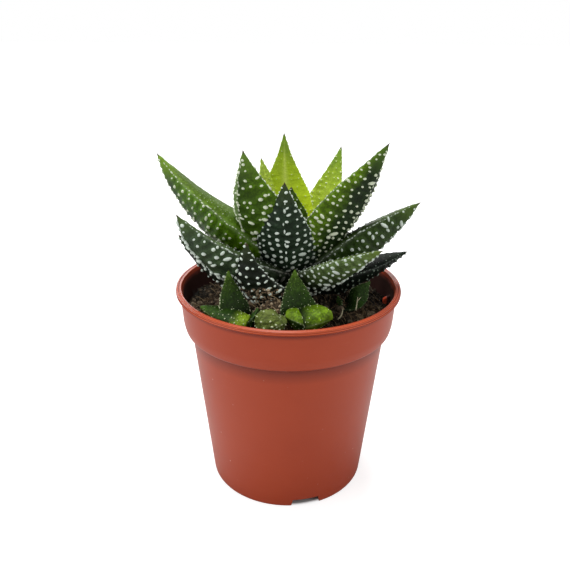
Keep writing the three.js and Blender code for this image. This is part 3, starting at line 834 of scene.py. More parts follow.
def makePot():
    p = pot
    shell = lathe("pot_shell", potProfile(), p["sides"], [potPlastic])
    fixNormals(shell)
    # the notches are cut from inside the foot ring to beyond it
    reach, heights = (p["foot"] - 9, p["foot"] + 6), (-1, p["notchHeight"])
    notches = [
        block(f"notch{i}", reach, p["notchBottom"] / 2, heights,
              p["notchAzimuth"] + 360 * i / p["notches"], 1 - p["notchTop"] / p["notchBottom"])
        for i in range(p["notches"])
    ]
    drains = [makeDrain(i) for i in range(p["drains"])]
    reach = (p["collarFoot"] - p["wall"] - p["ribDepth"], p["collarFoot"] - p["wall"] / 2)
    heights = (p["shoulderHeight"] - 3, p["ribTop"])
    ribs = [
        block(f"rib{i}", reach, p["ribWidth"] / 2, heights, p["ribAzimuth"] + 360 * i / p["ribs"])
        for i in range(p["ribs"])
    ]
    cutAway(shell, notches + drains)
    for rib in ribs:
        slopeRib(rib)
    joined(shell, ribs)
    shell.data.polygons.foreach_set("use_smooth", [True] * len(shell.data.polygons))
    shell.data.set_sharp_from_angle(angle=math.radians(p["sharpFrom"]))
    return fitted(shell, "pot_plastic", "pot")


makePot()
print("pot made")


# the leaves of the rosette

leafWords = (
    "name", "azimuth", "reach", "tip", "width", "thick", "full", "out", "end", "roll", "from", "kind",
)
leafRows = [
    ("leaf_heart_front", 290, 2, 118.5, 16, 5, 2, 74, 96, 0, 90, "mid"),
    ("leaf_heart_back", 134, 15.2, 126.2, 16, 5, 2, 70, 72, 0, 90, "young"),
    ("leaf_top_back", 98, 15, 134.8, 20.4, 5.5, 2.1, 68, 84, 0, 89, "young"),
    ("leaf_back_right", 43, 26.8, 129.4, 18.4, 6, 2, 46, 72, 0, 88, "young"),
    ("leaf_inner_left", 235, 26, 135.4, 27.5, 8, 1.7, 60, 76, 8, 87, "mid"),
    ("leaf_inner_right", 333, 36.4, 137.1, 25, 9.5, 2.2, 52, 57, -24, 87, "mid"),
    ("leaf_front", 266, 22, 125.2, 23, 8, 1.55, 48, 80, 0, 84, "old"),
    ("leaf_left", 175, 47.9, 129.1, 26, 12.2, 2.2, 38, 57, 18, 88, "mid"),
    ("leaf_back_left", 138, 27, 116.6, 20, 7, 2, 50, 66, 0, 86, "mid"),
    ("leaf_back", 82, 34, 105, 19, 7.5, 1.9, 34, 58, 0, 84, "old"),
    ("leaf_right", 356, 47.2, 113.8, 20, 10.2, 3.2, 24, 37, -32, 84, "old"),
    ("leaf_low_left", 210, 43.3, 114.1, 25, 10, 2.1, 18, 60, 17, 84, "old"),
    ("leaf_far_right", 48, 36, 100, 18, 7, 1.9, 22, 42, 0, 82, "old"),
    ("leaf_low_right", 322, 40.1, 102.8, 22, 9, 2.3, 18, 22, -12, 83, "old"),
    ("leaf_low_front", 238, 26.7, 104.4, 23, 8.5, 1.8, 0, 98, 0, 79, "old"),
    ("leaf_under_left", 188, 40.3, 101.6, 20, 8, 2, 4, 54, 14, 80, "old"),
    ("leaf_under_right", 12, 47.4, 90.3, 19, 11, 3, 8, 14, -6, 80.5, "shaded"),
    ("leaf_under_back", 105, 40, 94, 18, 7, 1.9, 8, 38, 0, 80, "old"),
    ("leaf_under_back_left", 152, 38, 90, 17, 7, 1.9, 6, 30, 0, 79.5, "old"),
]
leafShape = {
    # where it is widest, its breadth at the root, how far its curve bends, and where its roll ends
    "widest": 0.26, "rootBreadth": 0.8, "bend": 0.36, "rollEnd": 0.7,
    # the back's depth, how it and the upper face thin towards the tip, and where the tip sharpens
    "depth": 0.9, "backTaper": 0.3, "faceTaper": 0.6, "tipFrom": 0.12,
    # how sharp the keel is at the root and how much more at the tip, and how the foot clasps the stem
    "keel": 0.15, "keelGrows": 0.45, "clasp": 0.16, "claspEnd": 0.75,
}
leafDetail = {
    "rings": 110, "around": 76, "wave": 0.22, "relief": 0.07, "mound": 0.5, "moundRadius": 0.95,
    "moundAcross": 0.38,
}
pearlDetail = {
    "width": 1.14, "length": 0.94, "height": 0.86, "spread": 0.22, "missing": 0.05, "from": 0.1,
    "end": 0.97, "backGirth": 2.75, "upperGirth": 2.0, "tipShrink": 0.35, "marginPitch": 1.3,
    "lineFrom": 0.08, "lineLength": 0.88, "lineWander": 7, "dashFrom": 0.6, "lineStretch": 0.7,
}
# pearl: size of the pearls; pitch: their spacing; ridge: how far the keel stands off the middle;
# glow: how lit the back is at its middle base, with the change towards its one side and towards its tip
leafCoat = {
    "crown": 0.1, "pearl": 1.1, "pitch": 2.8, "ridge": 0.0, "strip": 0, "dash": 1.0, "dots": 0.3,
    "jitter": 0.5, "upperPitch": 1.9, "cleanAndLit": 0.2, "glow": (0.2, 0, 0.2), "edge": 0.5,
    "keelPitch": 1.6, "keelGrade": 0.62, "taper": (0.22, 0.55),
}
ownCoats = {
    "leaf_left": {
        "crown": 0.6, "pearl": 1.3, "pitch": 3.2, "ridge": -0.1, "dots": 0.2, "dash": 1.5, "cleanAndLit": 0.6,
        "glow": (0.35, 0.8, -0.4),
    },
    "leaf_low_left": {
        "crown": 0.5, "pearl": 1.75, "pitch": 3.2, "ridge": -0.2, "edge": 0.6, "cleanAndLit": 0.15,
        "glow": (0.1, 0.2, 0.2),
    },
    "leaf_under_left": {"pearl": 1.2, "pitch": 2.9, "glow": (0.1, 0.1, 0.2)},
    "leaf_inner_left": {
        "pearl": 1.25, "pitch": 2.75, "ridge": -0.62, "strip": 1, "jitter": 0.7, "edge": 0.7,
        "glow": (0.5, 0.4, -0.1),
    },
    "leaf_front": {
        "pearl": 1.25, "pitch": 2.5, "ridge": 0.01, "keelPitch": 3.6, "keelGrade": 0.8, "dash": 0.8,
        "jitter": 0.36, "edge": 0.75, "cleanAndLit": 0.05, "glow": (0.12, 0.1, 0.5),
    },
    "leaf_inner_right": {
        "pearl": 1.2, "pitch": 2.6, "ridge": 0.3, "cleanAndLit": 0.5, "glow": (-0.28, -0.95, -0.15),
    },
    "leaf_right": {
        "crown": 0.6, "pearl": 1.4, "pitch": 3.0, "ridge": 0.1, "dash": 1.4, "dots": 0.55,
        "upperPitch": 2.6, "cleanAndLit": 0.3, "glow": (0.15, -0.2, 0.5),
    },
    "leaf_low_right": {
        "crown": 0.25, "pearl": 1.3, "pitch": 2.6, "dash": 1.5, "dots": 0.4, "cleanAndLit": 0.6,
        "glow": (-0.75, -0.4, 1.75),
    },
    "leaf_under_right": {
        "crown": 0.35, "pearl": 0.9, "pitch": 2.9, "dots": 0.5, "upperPitch": 3.0, "edge": 0.35,
        "glow": (0.0, -0.1, 0.2),
    },
    "leaf_low_front": {
        "pearl": 1.3, "pitch": 2.5, "jitter": 0.4, "edge": 0.6, "cleanAndLit": 0.1, "glow": (0.0, 0.1, 0.3),
    },
    "leaf_back_right": {
        "pearl": 0.75, "pitch": 2.2, "ridge": 0.35, "dots": 0.8, "upperPitch": 2.4, "glow": (0.6, 0, -0.2),
    },
    "leaf_top_back": {
        "pearl": 0.6, "pitch": 2.3, "dots": 0.4, "upperPitch": 3.1, "glow": (0.6, 0, -0.1),
        "taper": (0.5, 0.3),
    },
    "leaf_heart_back": {"pearl": 0.6, "pitch": 2.2, "dots": 0.5, "glow": (0.6, 0, -0.1)},
    "leaf_heart_front": {"pearl": 0.7, "pitch": 2.2, "glow": (0.95, 0.1, -0.2)},
}
rosette = [{**dict(zip(leafWords, row)), **leafCoat, **ownCoats.get(row[0], {})} for row in leafRows]


def leafFrame(leaf, t):
    # centre, direction, side and upper face at t, from 0 at the leaf's root to 1 at its tip, and its span
    t = np.asarray(t, float)[..., None]
    turn = math.radians(leaf["azimuth"])
    heading = np.array([math.cos(turn), math.sin(turn), 0])

    def slope(angle):
        return heading * math.cos(math.radians(angle)) + np.array([0, 0, math.sin(math.radians(angle))])

    root = np.array([leaf.get("x", 0), leaf.get("y", 0), leaf["from"]], float)
    tip = root + heading * leaf["reach"]
    tip[2] = leaf["tip"]
    span = np.linalg.norm(tip - root)
    a = root + slope(leaf["out"]) * span * leafShape["bend"]
    b = tip - slope(leaf["end"]) * span * leafShape["bend"]
    centre = (1 - t) ** 3 * root + 3 * (1 - t) ** 2 * t * a + 3 * (1 - t) * t * t * b + t ** 3 * tip
    along = unit(3 * (1 - t) ** 2 * (a - root) + 6 * (1 - t) * t * (b - a) + 3 * t * t * (tip - b))
    level = np.array([-heading[1], heading[0], 0])
    rolled = np.radians(leaf["roll"]) * smooth(t, 0, leafShape["rollEnd"])
    side = level * np.cos(rolled) + np.cross(along, np.broadcast_to(level, along.shape)) * np.sin(rolled)
    side = side + along * (along @ level)[..., None] * (1 - np.cos(rolled))
    return centre, along, side, unit(np.cross(along, side)), span


def outline(leaf, t):
    # the leaf's breadth at t, as a share of its greatest
    widest, atRoot = leafShape["widest"], leafShape["rootBreadth"]
    rest = np.clip((t - widest) / (1 - widest), 0, 1)
    start = atRoot + (1 - atRoot) * np.sin(np.clip(t / widest, 0, 1) * math.pi / 2)
    finer, onset = leaf["taper"]
    return np.where(t < widest, start, (1 - rest ** leaf["full"]) * (1 - finer * smooth(rest, onset, 1)))


def skin(leaf, t, turn):
    # points of the leaf's skin for every pair of t and turn; turn is 90 on the upper face and 270 on the keel
    s = leafShape
    t, turn = np.broadcast_arrays(np.asarray(t, float), np.radians(turn))
    centre, _, side, face, _ = leafFrame(leaf, t)
    share = outline(leaf, t)
    half = leaf["width"] / 2 * share
    back = leaf["thick"] * (0.3 + 0.7 * share) * (1 - t) ** s["backTaper"] * s["depth"]
    plump = leaf.get("plump", 0)
    taper = s["backTaper"] if plump else s["faceTaper"]
    front = leaf["thick"] * (plump or leaf["crown"]) * (1 - t) ** taper
    sharpen = np.clip((1 - t) / s["tipFrom"], 0, 1) ** 0.5
    back, front = back * sharpen, front * sharpen
    keel = s["keel"] + s["keelGrows"] * t
    across, rise = np.cos(turn), np.sin(turn)
    ridge = leaf["ridge"]
    offRidge = np.where(across > ridge, (across - ridge) / (1 - ridge), (ridge - across) / (1 + ridge))
    soft = np.sqrt(offRidge ** 2 + 0.006) - 0.003
    belly = (1 - keel) * np.abs(rise) + keel * (1 - np.minimum(soft, 1))
    clasp = 0 if plump else leaf["width"] * s["clasp"] * (1 - np.clip(t / s["claspEnd"], 0, 1)) ** 1.5
    lifted = np.where(rise >= 0, front * rise, -back * belly) + clasp * across ** 2
    return centre + side * (half * across)[..., None] + face * lifted[..., None]


def normalsOf(leaf, t, turn):
    here = skin(leaf, t, turn)
    onward = skin(leaf, t + 0.003, turn) - here
    aside = skin(leaf, t, turn + 0.7) - here
    return unit(np.cross(aside, onward))


def swelling(leaf, grid, places):
    # how far the skin swells under the pearls, from 0 to about 1
    swell = np.zeros(grid.shape[:2])
    reach, acrossShare = leafDetail["moundRadius"], leafDetail["moundAcross"]
    alongs = leafFrame(leaf, places[:, 0])[1]
    for at, grade, onward in zip(skin(leaf, places[:, 0], places[:, 1]), places[:, 2], alongs):
        apart = grid - at
        lengthwise = apart @ onward
        away = (apart ** 2).sum(axis=2) * acrossShare + lengthwise ** 2 * (1 - acrossShare)
        swell = np.maximum(swell, grade * np.exp(-away / (reach * (0.5 + 0.5 * grade)) ** 2))
    return swell


def leafBody(leaf, seed, finish, places):
    rings, around = leafDetail["rings"], leafDetail["around"]
    if "x" in leaf:
        # a young leaf beside the rosette needs fewer
        rings, around = rings // 2, around * 3 // 4
    t = (np.arange(rings) / rings) ** 0.9 * 0.995
    # more sections near the margins, where the skin turns sharply
    steps = np.arange(around) / around * 2 * math.pi
    turn = np.degrees(steps - 0.3 * np.sin(2 * steps))
    grid = skin(leaf, t[:, None], turn[None, :])
    outward = normalsOf(leaf, t[:, None], turn[None, :])
    bend = np.array([[noise.noise(Vector(p * 0.11 + seed * 7.3)) for p in row] for row in grid])
    fine = np.array([[noise.noise(Vector(p * 0.7 + seed * 3.1)) for p in row] for row in grid])
    fade = np.clip(t * 6, 0, 1) * (1 - smooth(t, 0.8, 1))
    raised = (bend * leafDetail["wave"] + fine * leafDetail["relief"]) * fade[:, None]
    swell = swelling(leaf, grid, places)
    grid = grid + outward * (raised + swell * leafDetail["mound"])[..., None]
    points = grid.reshape(-1, 3).tolist() + leafFrame(leaf, np.array([0.0, 1.0]))[0].tolist()
    rows = np.arange(rings * around).reshape(rings, around).tolist()
    faces = [face for low, high in zip(rows, rows[1:]) for face in band(low, high)]
    faces += [face[::-1] for face in fan(rings * around, rows[0])] + fan(rings * around + 1, rows[-1])
    body = addMesh(leaf["name"] + "_body", points, faces, [finish])
    # values for the finish on the rings, then at the root and at the tip
    rise, across = np.sin(np.radians(turn)), np.cos(np.radians(turn))
    upper = np.clip(rise * 5 + 0.4, 0, 1)
    strip = leaf["strip"] * np.clip((leaf["ridge"] - across) * 12, 0, 1) * (rise < 0)
    margin = np.maximum(np.exp(-((rise / 0.12) ** 2)), strip)
    midline = np.exp(-((across / 0.13) ** 2)) * (rise > 0)
    lit, sideways, onward = leaf["glow"]
    glow = lit + sideways * across[None, :] + onward * t[:, None]
    for name, values, ends in (
        ("along", t[:, None], (0, 1)),
        ("upper", upper, (0, 0)),
        ("cleanAndLit", 1, (1, 1)),
        ("margin", margin, (0, 0)),
        ("midline", midline, (0, 0)),
        ("swell", swell, (0, 0)),
        ("glow", glow, (lit, lit + onward)),
    ):
        attribute(body, name, np.append(np.broadcast_to(values, (rings, around)), ends))
    fixNormals(body)
    return body


def pearlPlaces(leaf, seed, size):
    # rows of pearls across the back, finer dots on the upper face, a close row on each margin and one on
    # the keel; each has its t, its turn, its grade, and whether it lies lengthwise
    d = pearlDetail
    span = leafFrame(leaf, 0.5)[4]
    found = []

    def rows(pitch, girth, start, end, grade, shape, key):
        t = d["from"] * (0.6 if key else 1)
        row = 0
        while t < d["end"]:
            half = leaf["width"] / 2 * float(outline(leaf, np.array(t)))
            grown = float(smooth(t, 0.12, 0.45))
            places = max(1, round(girth * half / (pitch * (0.85 + 0.3 * grown))))
            for place in range(places):
                if draw(seed + key, row * 7 + 3, place) < d["missing"]:
                    continue
                shift = (draw(seed + key, row, place) - 0.5) * leaf["jitter"] + 0.25 * (-1) ** row
                share = (place + 0.5 + shift) / places
                if not 0.04 < share < 0.96:
                    continue
                lift = (draw(seed + key, place, row + 50) - 0.5) * leaf["jitter"] * pitch / span
                here = min(max(t + lift, 0.02), d["end"])
                taper = (0.74 + 0.26 * grown) * (1 - d["tipShrink"] * here ** 2)
                found.append((here, start + (end - start) * share, grade * size * taper * shape(share), 0))
            t += pitch * (0.68 + 0.27 * grown) * (1 - 0.25 * smooth(t, 0.75, 1)) / span
            row += 1

    def line(turn, pitch, grade, key):
        for i in range(int(span * d["lineLength"] / pitch)):
            t = d["lineFrom"] + (i + draw(seed + key, i, 3) * 0.5) * pitch / span
            wander = (draw(seed + key, i, 1) - 0.5) * d["lineWander"]
            graded = grade * size * (0.6 + 0.8 * draw(seed + key, i, 2)) * (1 - d["tipShrink"] * t)
            found.append((min(t, 0.975), turn + wander, graded, 1))

    def largerInside(share):
        return 0.75 + 0.35 * math.sin(math.pi * share)

    def smallerInside(share):
        return 1.35 - 0.6 * math.sin(math.pi * share)

    rows(leaf["pitch"], d["backGirth"], 180, 360, leaf["pearl"], largerInside, 0)
    rows(leaf["upperPitch"], d["upperGirth"], 6, 174, leaf["dots"], smallerInside, 200)
    line(0, d["marginPitch"], leaf["edge"], 400)
    line(180, d["marginPitch"], leaf["edge"], 401)
    if leaf["ridge"]:
        keel = 360 - math.degrees(math.acos(leaf["ridge"]))
        line(keel, leaf["keelPitch"], leaf["keelGrade"] * leaf["pearl"], 402)
    return np.array(found)


def leafPearls(leaf, seed, places, finish, others):
    d = pearlDetail
    t, turn, grade, lengthwise = places.T
    at = skin(leaf, t, turn)
    outward = normalsOf(leaf, t, turn)
    across = unit(skin(leaf, t, turn + 0.7) - at)
    onward = np.cross(outward, across)
    chances = np.array([[draw(seed, i, key) for key in (71, 72, 73)] for i in range(len(t))])
    lean = (chances[:, 0] - 0.5) * 0.9 * (1 - lengthwise) + lengthwise * math.pi / 2
    across = across * np.cos(lean)[:, None] + onward * np.sin(lean)[:, None]
    # some pearls run together into short dashes across the leaf
    dash = leaf["dash"] * np.maximum(0, chances[:, 1] - d["dashFrom"]) / (1 - d["dashFrom"])
    longer = 1 + dash + d["lineStretch"] * lengthwise
    uneven = 0.72 + 0.5 * chances[:, 2]
    size = np.stack([grade * longer * uneven, grade * uneven, grade ** 0.5], axis=1)
    at = at + outward * (leafDetail["mound"] * grade * 0.92 - 0.05)[:, None]
    # towards the foot the pearls take a colour that is partly soil stain and partly painted shade
    cleanAndLit = leaf["cleanAndLit"] + (1 - leaf["cleanAndLit"]) * smooth(t, 0.18, 0.5)
    # leave out what would stand inside a neighbour
    kept = [i for i in range(len(at)) if not any(inside(tree, at[i]) for tree in others)]
    carrier = addMesh(leaf["name"] + "_points", at[kept], [], [])
    attribute(carrier, "face", outward[kept], "FLOAT_VECTOR")
    attribute(carrier, "across", across[kept], "FLOAT_VECTOR")
    attribute(carrier, "size", size[kept], "FLOAT_VECTOR")
    attribute(carrier, "cleanAndLit", cleanAndLit[kept])
    return repeated(leaf["name"] + "_pearls", carrier, pearlsTree, Width=d["width"] * mm, Seed=seed,
                    Length=d["length"] * mm, Height=d["height"] * mm, Spread=d["spread"], Finish=finish)


def inside(tree, point):
    # an upward ray meets the skin of a closed body an odd number of times from within
    here = Vector(point) * mm
    if tree.find_nearest(here)[3] < 0.25 * mm:
        return False
    up, hits = Vector((0.013, 0.021, 1)).normalized(), 0
    while hits < 20:
        hit = tree.ray_cast(here, up)[0]
        if hit is None:
            break
        hits += 1
        here = hit + up * 1e-6
    return hits % 2 == 1


def searchTree(body):
    work = bmesh.new()
    work.from_mesh(body.data)
    found = BVHTree.FromBMesh(work)
    work.free()
    return found


pearlsTree = pearlTree()
coats = [pearlPlaces(leaf, i + 1, 1.0) for i, leaf in enumerate(rosette)]
bodies = [leafBody(leaf, i + 1, leafFinishes[leaf["name"]], coats[i]) for i, leaf in enumerate(rosette)]
trees = [searchTree(body) for body in bodies]
print("leaf bodies made")

pearlCount = 0
for i, leaf in enumerate(rosette):
    others = trees[:i] + trees[i + 1:]
    pearls = leafPearls(leaf, i + 1, coats[i], pearlFinishes[leaf["kind"]], others)
    pearlCount += len(pearls.data.vertices)
    whole = joined(bodies[i], [pearls])
    whole.name = "haworthia_" + leaf["name"]
    fitted(whole, "leaf_young" if leaf["kind"] == "young" else "leaf", leaf["name"])
print("leaves made, with", pearlCount, "points in their pearls")


# the young plants round the rosette

youngWords = ("x", "y", "azimuth", "reach", "tip", "width", "thick", "full", "out", "end", "from", "plump")
offsets = {
    "offset_left": {
        "x": -18, "y": -25, "neck": 76.5, "finishes": ("upright", "lying", "dim"),
        "leaves": [
            (-18.5, -24.5, 128, 3.2, 94.5, 12, 3, 1.2, 84, 100, 75, 0),
            (-14, -28.5, 165, 17.4, 81.4, 10, 7, 1.9, 16, 14, 77, 0.4),
            (-16, -25, 0, 5.5, 82, 8, 4, 1.6, 40, 75, 75.5, 0),
        ],
    },
    "offset_right": {
        "x": 4.5, "y": -24.5, "neck": 76.5, "finishes": ("upright", "bright", "bright"),
        "glows": {1: (0.3, -0.75, 0.3), 2: (0.75, 0.1, -0.2)},
        "leaves": [
            (3.8, -24, 112, 4.2, 94.4, 13.5, 3, 1.2, 84, 102, 75, 0),
            (5.5, -25.5, 200, 7, 79.8, 11, 5, 2.6, 34, 0, 77, 0.7),
            (5.5, -26, 352, 10, 78.6, 12, 5.5, 2.4, 32, -22, 77, 0.9),
        ],
    },
    "offset_front": {
        "x": -6.5, "y": -28.5, "neck": 75.5, "finishes": ("olive", "olive"), "pearls": 0.9,
        "leaves": [
            (-6.5, -28, 250, 1, 83, 9.5, 5, 3.5, 84, 90, 74.5, 0.9),
            (-5.5, -28, 345, 5.5, 78.5, 7, 4, 3, 30, 0, 76, 0.8),
        ],
    },
    "offset_side": {
        "x": 21, "y": -9, "neck": 75.5, "finishes": ("dim", "dim"), "roll": 62, "pearls": 0.34,
        "leaves": [
            (21, -9, 352, 9, 86, 9.5, 3, 1.7, 36, 50, 74, 0),
            (21, -9, 150, 3, 79, 5, 2.5, 1.7, 50, 80, 74, 0),
        ],
    },
}
stub = {"foot": 66, "radius": 2.8, "top": 2.0, "slope": 0.8, "sides": 20}
youngCoat = {
    "ridge": 0, "crown": 0.1, "strip": 0, "dash": 0.2, "pearl": 1.0, "pitch": 2.0, "jitter": 0.6,
    "upperPitch": 1.9, "cleanAndLit": 1, "edge": 0.5, "taper": leafCoat["taper"],
}


def makeOffset(name, offset, firstSeed):
    neck, radius = offset["neck"], stub["radius"]
    profile = [
        (0, stub["foot"]), (radius, stub["foot"]), (radius, neck - stub["slope"]),
        (stub["top"], neck), (0, neck),
    ]
    foot = lathe(name + "_stub", profile, stub["sides"], [youngFinishes["dim"]])
    parts = [moved(foot, offset["x"], offset["y"], 0)]
    for place, row in enumerate(offset["leaves"]):
        young = {**youngCoat, **dict(zip(youngWords, row)), "name": f"{name}_{place}"}
        young["roll"] = offset.get("roll", 0)
        plain = (0.7, 0, 0) if young["plump"] else (0.35, 0, 0.1)
        young["glow"] = offset.get("glows", {}).get(place, plain)
        young["dots"] = 0.8 if young["plump"] else 0.45
        seed = firstSeed + place
        places = pearlPlaces(young, seed, offset.get("pearls", 0.6))
        parts.append(leafBody(young, seed, youngFinishes[offset["finishes"][place]], places))
        parts.append(leafPearls(young, seed, places, pearlFinishes["offset"], trees))
    plantlet = joined(parts[0], parts[1:])
    plantlet.name = "haworthia_" + name
    return fitted(plantlet, "leaf_young", name)


for order, (name, offset) in enumerate(offsets.items()):
    makeOffset(name, offset, 40 + order * 5)
print("offsets made")


# the stem

stemShape = {"foot": 62, "top": 97, "crown": 3.0, "radius": 5.2, "bud": 1.6, "sides": 48}


def tinted(thing):
    # the middle of the finish's tints, everywhere
    attribute(thing, "tint", [0.5] * len(thing.data.vertices))


def makeStem():
    s = stemShape
    profile = rounded([
        (0, s["foot"], 0),
        (s["crown"], s["foot"], 1),
        (s["radius"], s["foot"] + 8, 2),
        (s["radius"], s["foot"] + 0.62 * (s["top"] - s["foot"]), 2),
        (s["bud"], s["top"] - 2, 1),
        (0, s["top"], 0),
    ])
    stem = lathe("haworthia_stem", profile, s["sides"], [earthFinishes["bark"]])
    tinted(stem)
    fixNormals(stem)
    return fitted(stem, "stem", "stem")


makeStem()
print("stem made")


# the soil

soil = {
    "edgeHeight": 71.5, "edgeDip": 0.5, "gap": 0.3, "rings": 76, "sectors": 200,
    "mound": 6.5, "moundTop": 8, "moundFoot": 38, "lumps": 0.45, "rough": 0.75, "fine": 0.28,
    # x, y, half length, half width and height
    "heaps": [(-5.0, -24.0, 7.0, 3.6, 9.5), (-14, -20, 6, 5, 3)],
    # how many on a square millimetre, the smallest and largest, how far they tilt, and the seed
    "crumb": (0.85, 0.35, 1.25, 3.0, 11),
    "lump": (0.07, 1.3, 2.4, 3.0, 23),
    "gritGrain": (0.0026, 0.8, 1.3, 3.0, 31),
    "fibreBit": (0.14, 0.4, 1.5, 0.9, 47),
    "hairBit": (1.6, 0.6, 1.4, 1.3, 53),
    "clingCrumb": (1.2, 0.35, 1.05, 3.0, 61),
    "fibreThickness": 0.08, "fibreReach": 35.5,
    "hairThickness": 0.035, "hairReach": 4.5, "hairPlace": (-33.5, 6.5),
    "whiteGrain": (-30.8, -9.9),
}
# a splinter, a twig with its fork and a straw: foot, top and thickness
soilBits = [
    ((17.6, -20.8, 75.4), (19.5, -18.5, 78.4), 0.52),
    ((24.5, -15.6, 76.6), (25.0, -14.5, 81.4), 0.26),
    ((24.8, -15.0, 80.0), (26.2, -14.6, 81.6), 0.18),
    ((-8.0, -28.5, 77.0), (-4.0, -27.0, 79.2), 0.13),
]
perSquareMetre = 1e6


def soilHeight(x, y):
    mound = soil["mound"] * (1 - float(smooth(math.hypot(x, y), soil["moundTop"], soil["moundFoot"])))
    lump = math.sin(x * 0.55 + 1.3 * math.sin(y * 0.31)) * math.cos(y * 0.47 - 1.1 * math.sin(x * 0.23))
    rough = noise.fractal(Vector((x, y, 3.0)) * 0.33, 0.8, 2.1, 5) * soil["rough"]
    fine = noise.noise(Vector((x, y, 9)) * 1.4) * soil["fine"]
    heap = sum(h * math.exp(-(((x - a) / c) ** 2 + ((y - b) / d) ** 2)) for a, b, c, d, h in soil["heaps"])
    return soil["edgeHeight"] + mound + heap + soil["lumps"] * lump + (rough + fine)


def soilRadius(height):
    return outerRadius(height) - pot["wall"] - soil["gap"]


def makeGround():
    edge = soilRadius(soil["edgeHeight"])
    fold = pot["shoulderHeight"]
    bottom = pot["recess"] + pot["wall"] + soil["gap"]
    points, rows = [], []

    def ring(radius, heightOf):
        rows.append(list(range(len(points), len(points) + soil["sectors"])))
        for k in range(soil["sectors"]):
            turn = 2 * math.pi * k / soil["sectors"]
            x, y = radius * math.cos(turn), radius * math.sin(turn)
            points.append((x, y, heightOf(x, y)))

    def topHeight(x, y):
        # a little lower where it meets the wall
        return soilHeight(x, y) - soil["edgeDip"] * float(smooth(math.hypot(x, y), edge - 1, edge))

    for i in range(1, soil["rings"] + 1):
        ring(edge * i / soil["rings"], topHeight)
    for radius, height in (
        (soilRadius(pot["collarFootHeight"]) - 0.3, pot["collarFootHeight"]),
        (soilRadius(fold - 0.01), fold + 1),
        (soilRadius(fold - 0.01), fold),
        (soilRadius(bottom) - 1.5, bottom),
    ):
        ring(radius, lambda x, y: height)
    points += [(0, 0, soilHeight(0, 0)), (0, 0, bottom)]
    faces = [(a, d, c, b) for low, high in zip(rows, rows[1:]) for a, b, c, d in band(low, high)]
    faces += fan(len(points) - 2, rows[0]) + [face[::-1] for face in fan(len(points) - 1, rows[-1])]
    ground = addMesh("haworthia_soil", points, faces, [earthFinishes["compost"]])
    attribute(ground, "tint", [0.5 + 0.5 * noise.noise(Vector(p) * 0.5) for p in points])
    fixNormals(ground)
    # crumbs and fibres lie on the top only, a little inside the wall
    topPoints = [p for p in points if math.hypot(p[0], p[1]) < edge - 0.5 and p[2] > soil["edgeHeight"] - 3]
    index = {p: i for i, p in enumerate(topPoints)}
    topFaces = [[index[points[v]] for v in face] for face in faces if all(points[v] in index for v in face)]
    return ground, addMesh("bed", topPoints, topFaces, [])


def partOf(name, mesh, wanted):
    # the faces whose centres are wanted
    centres = [np.array(face.center) / mm for face in mesh.polygons]
    kept = [list(face.vertices) for face, centre in zip(mesh.polygons, centres) if wanted(*centre)]
    used = sorted({v for face in kept for v in face})
    index = {v: i for i, v in enumerate(used)}
    points = [np.array(mesh.vertices[v].co) / mm for v in used]
    return addMesh(name, points, [[index[v] for v in face] for face in kept], [])


def bedRound(middle, radius):
    return partOf("bedPart", bed.data, lambda x, y, z: math.hypot(x - middle[0], y - middle[1]) < radius)


def onLeafFoot(x, y, z):
    # crumbs cling to the foot of the low front leaf, up to an uneven line
    return z < 90.5 - 0.45 * abs(x + 8) - 2 * draw(round(x), round(y), 5) and y < -17


def scattered(name, carrier, tree, finish, keepCarrier=False, **more):
    density, smallest, largest, upright, seed = soil[name]
    return repeated(name, carrier, tree, keepCarrier, Density=density * perSquareMetre, Smallest=smallest,
                    Largest=largest, Upright=upright, Seed=seed, Finish=earthFinishes[finish], **more)


def makeWhiteGrain():
    # one white grain by the left offset
    x, y = soil["whiteGrain"]
    profile = [(0, -0.7), (0.6, -0.5), (0.85, 0.1), (0.55, 0.6), (0, 0.7)]
    white = moved(lathe("whiteGrain", profile, 10, [earthFinishes["grit"]]), x, y, soilHeight(x, y) + 0.9)
    tinted(white)
    fixNormals(white)
    return white


def sliver(name, foot, top, thick, sides=5, steps=6):
    # a thin pointed piece of straw or wood, a little bent
    foot, top = np.array(foot, float), np.array(top, float)
    onward = unit(top - foot)
    aside = unit(np.cross(onward, [0.3, 0.2, 1]))
    other = np.cross(onward, aside)
    points = []
    for i in range(steps + 1):
        share = i / steps
        sway = 0.12 * np.linalg.norm(top - foot) * math.sin(math.pi * share)
        centre = foot + (top - foot) * share + aside * sway
        radius = thick * (0.9 - 0.6 * share) * (1 + 0.25 * draw(i, 3, thick * 10))
        for k in range(sides):
            turn = 2 * math.pi * k / sides
            points.append(centre + radius * (math.cos(turn) * aside * 0.6 + math.sin(turn) * other))
    rows = np.arange(len(points)).reshape(steps + 1, sides).tolist()
    faces = [face for low, high in zip(rows, rows[1:]) for face in band(low, high)]
    thing = addMesh(name, points, faces + [rows[0], rows[-1]], [earthFinishes["straw"]])
    tinted(thing)
    fixNormals(thing)
    return thing


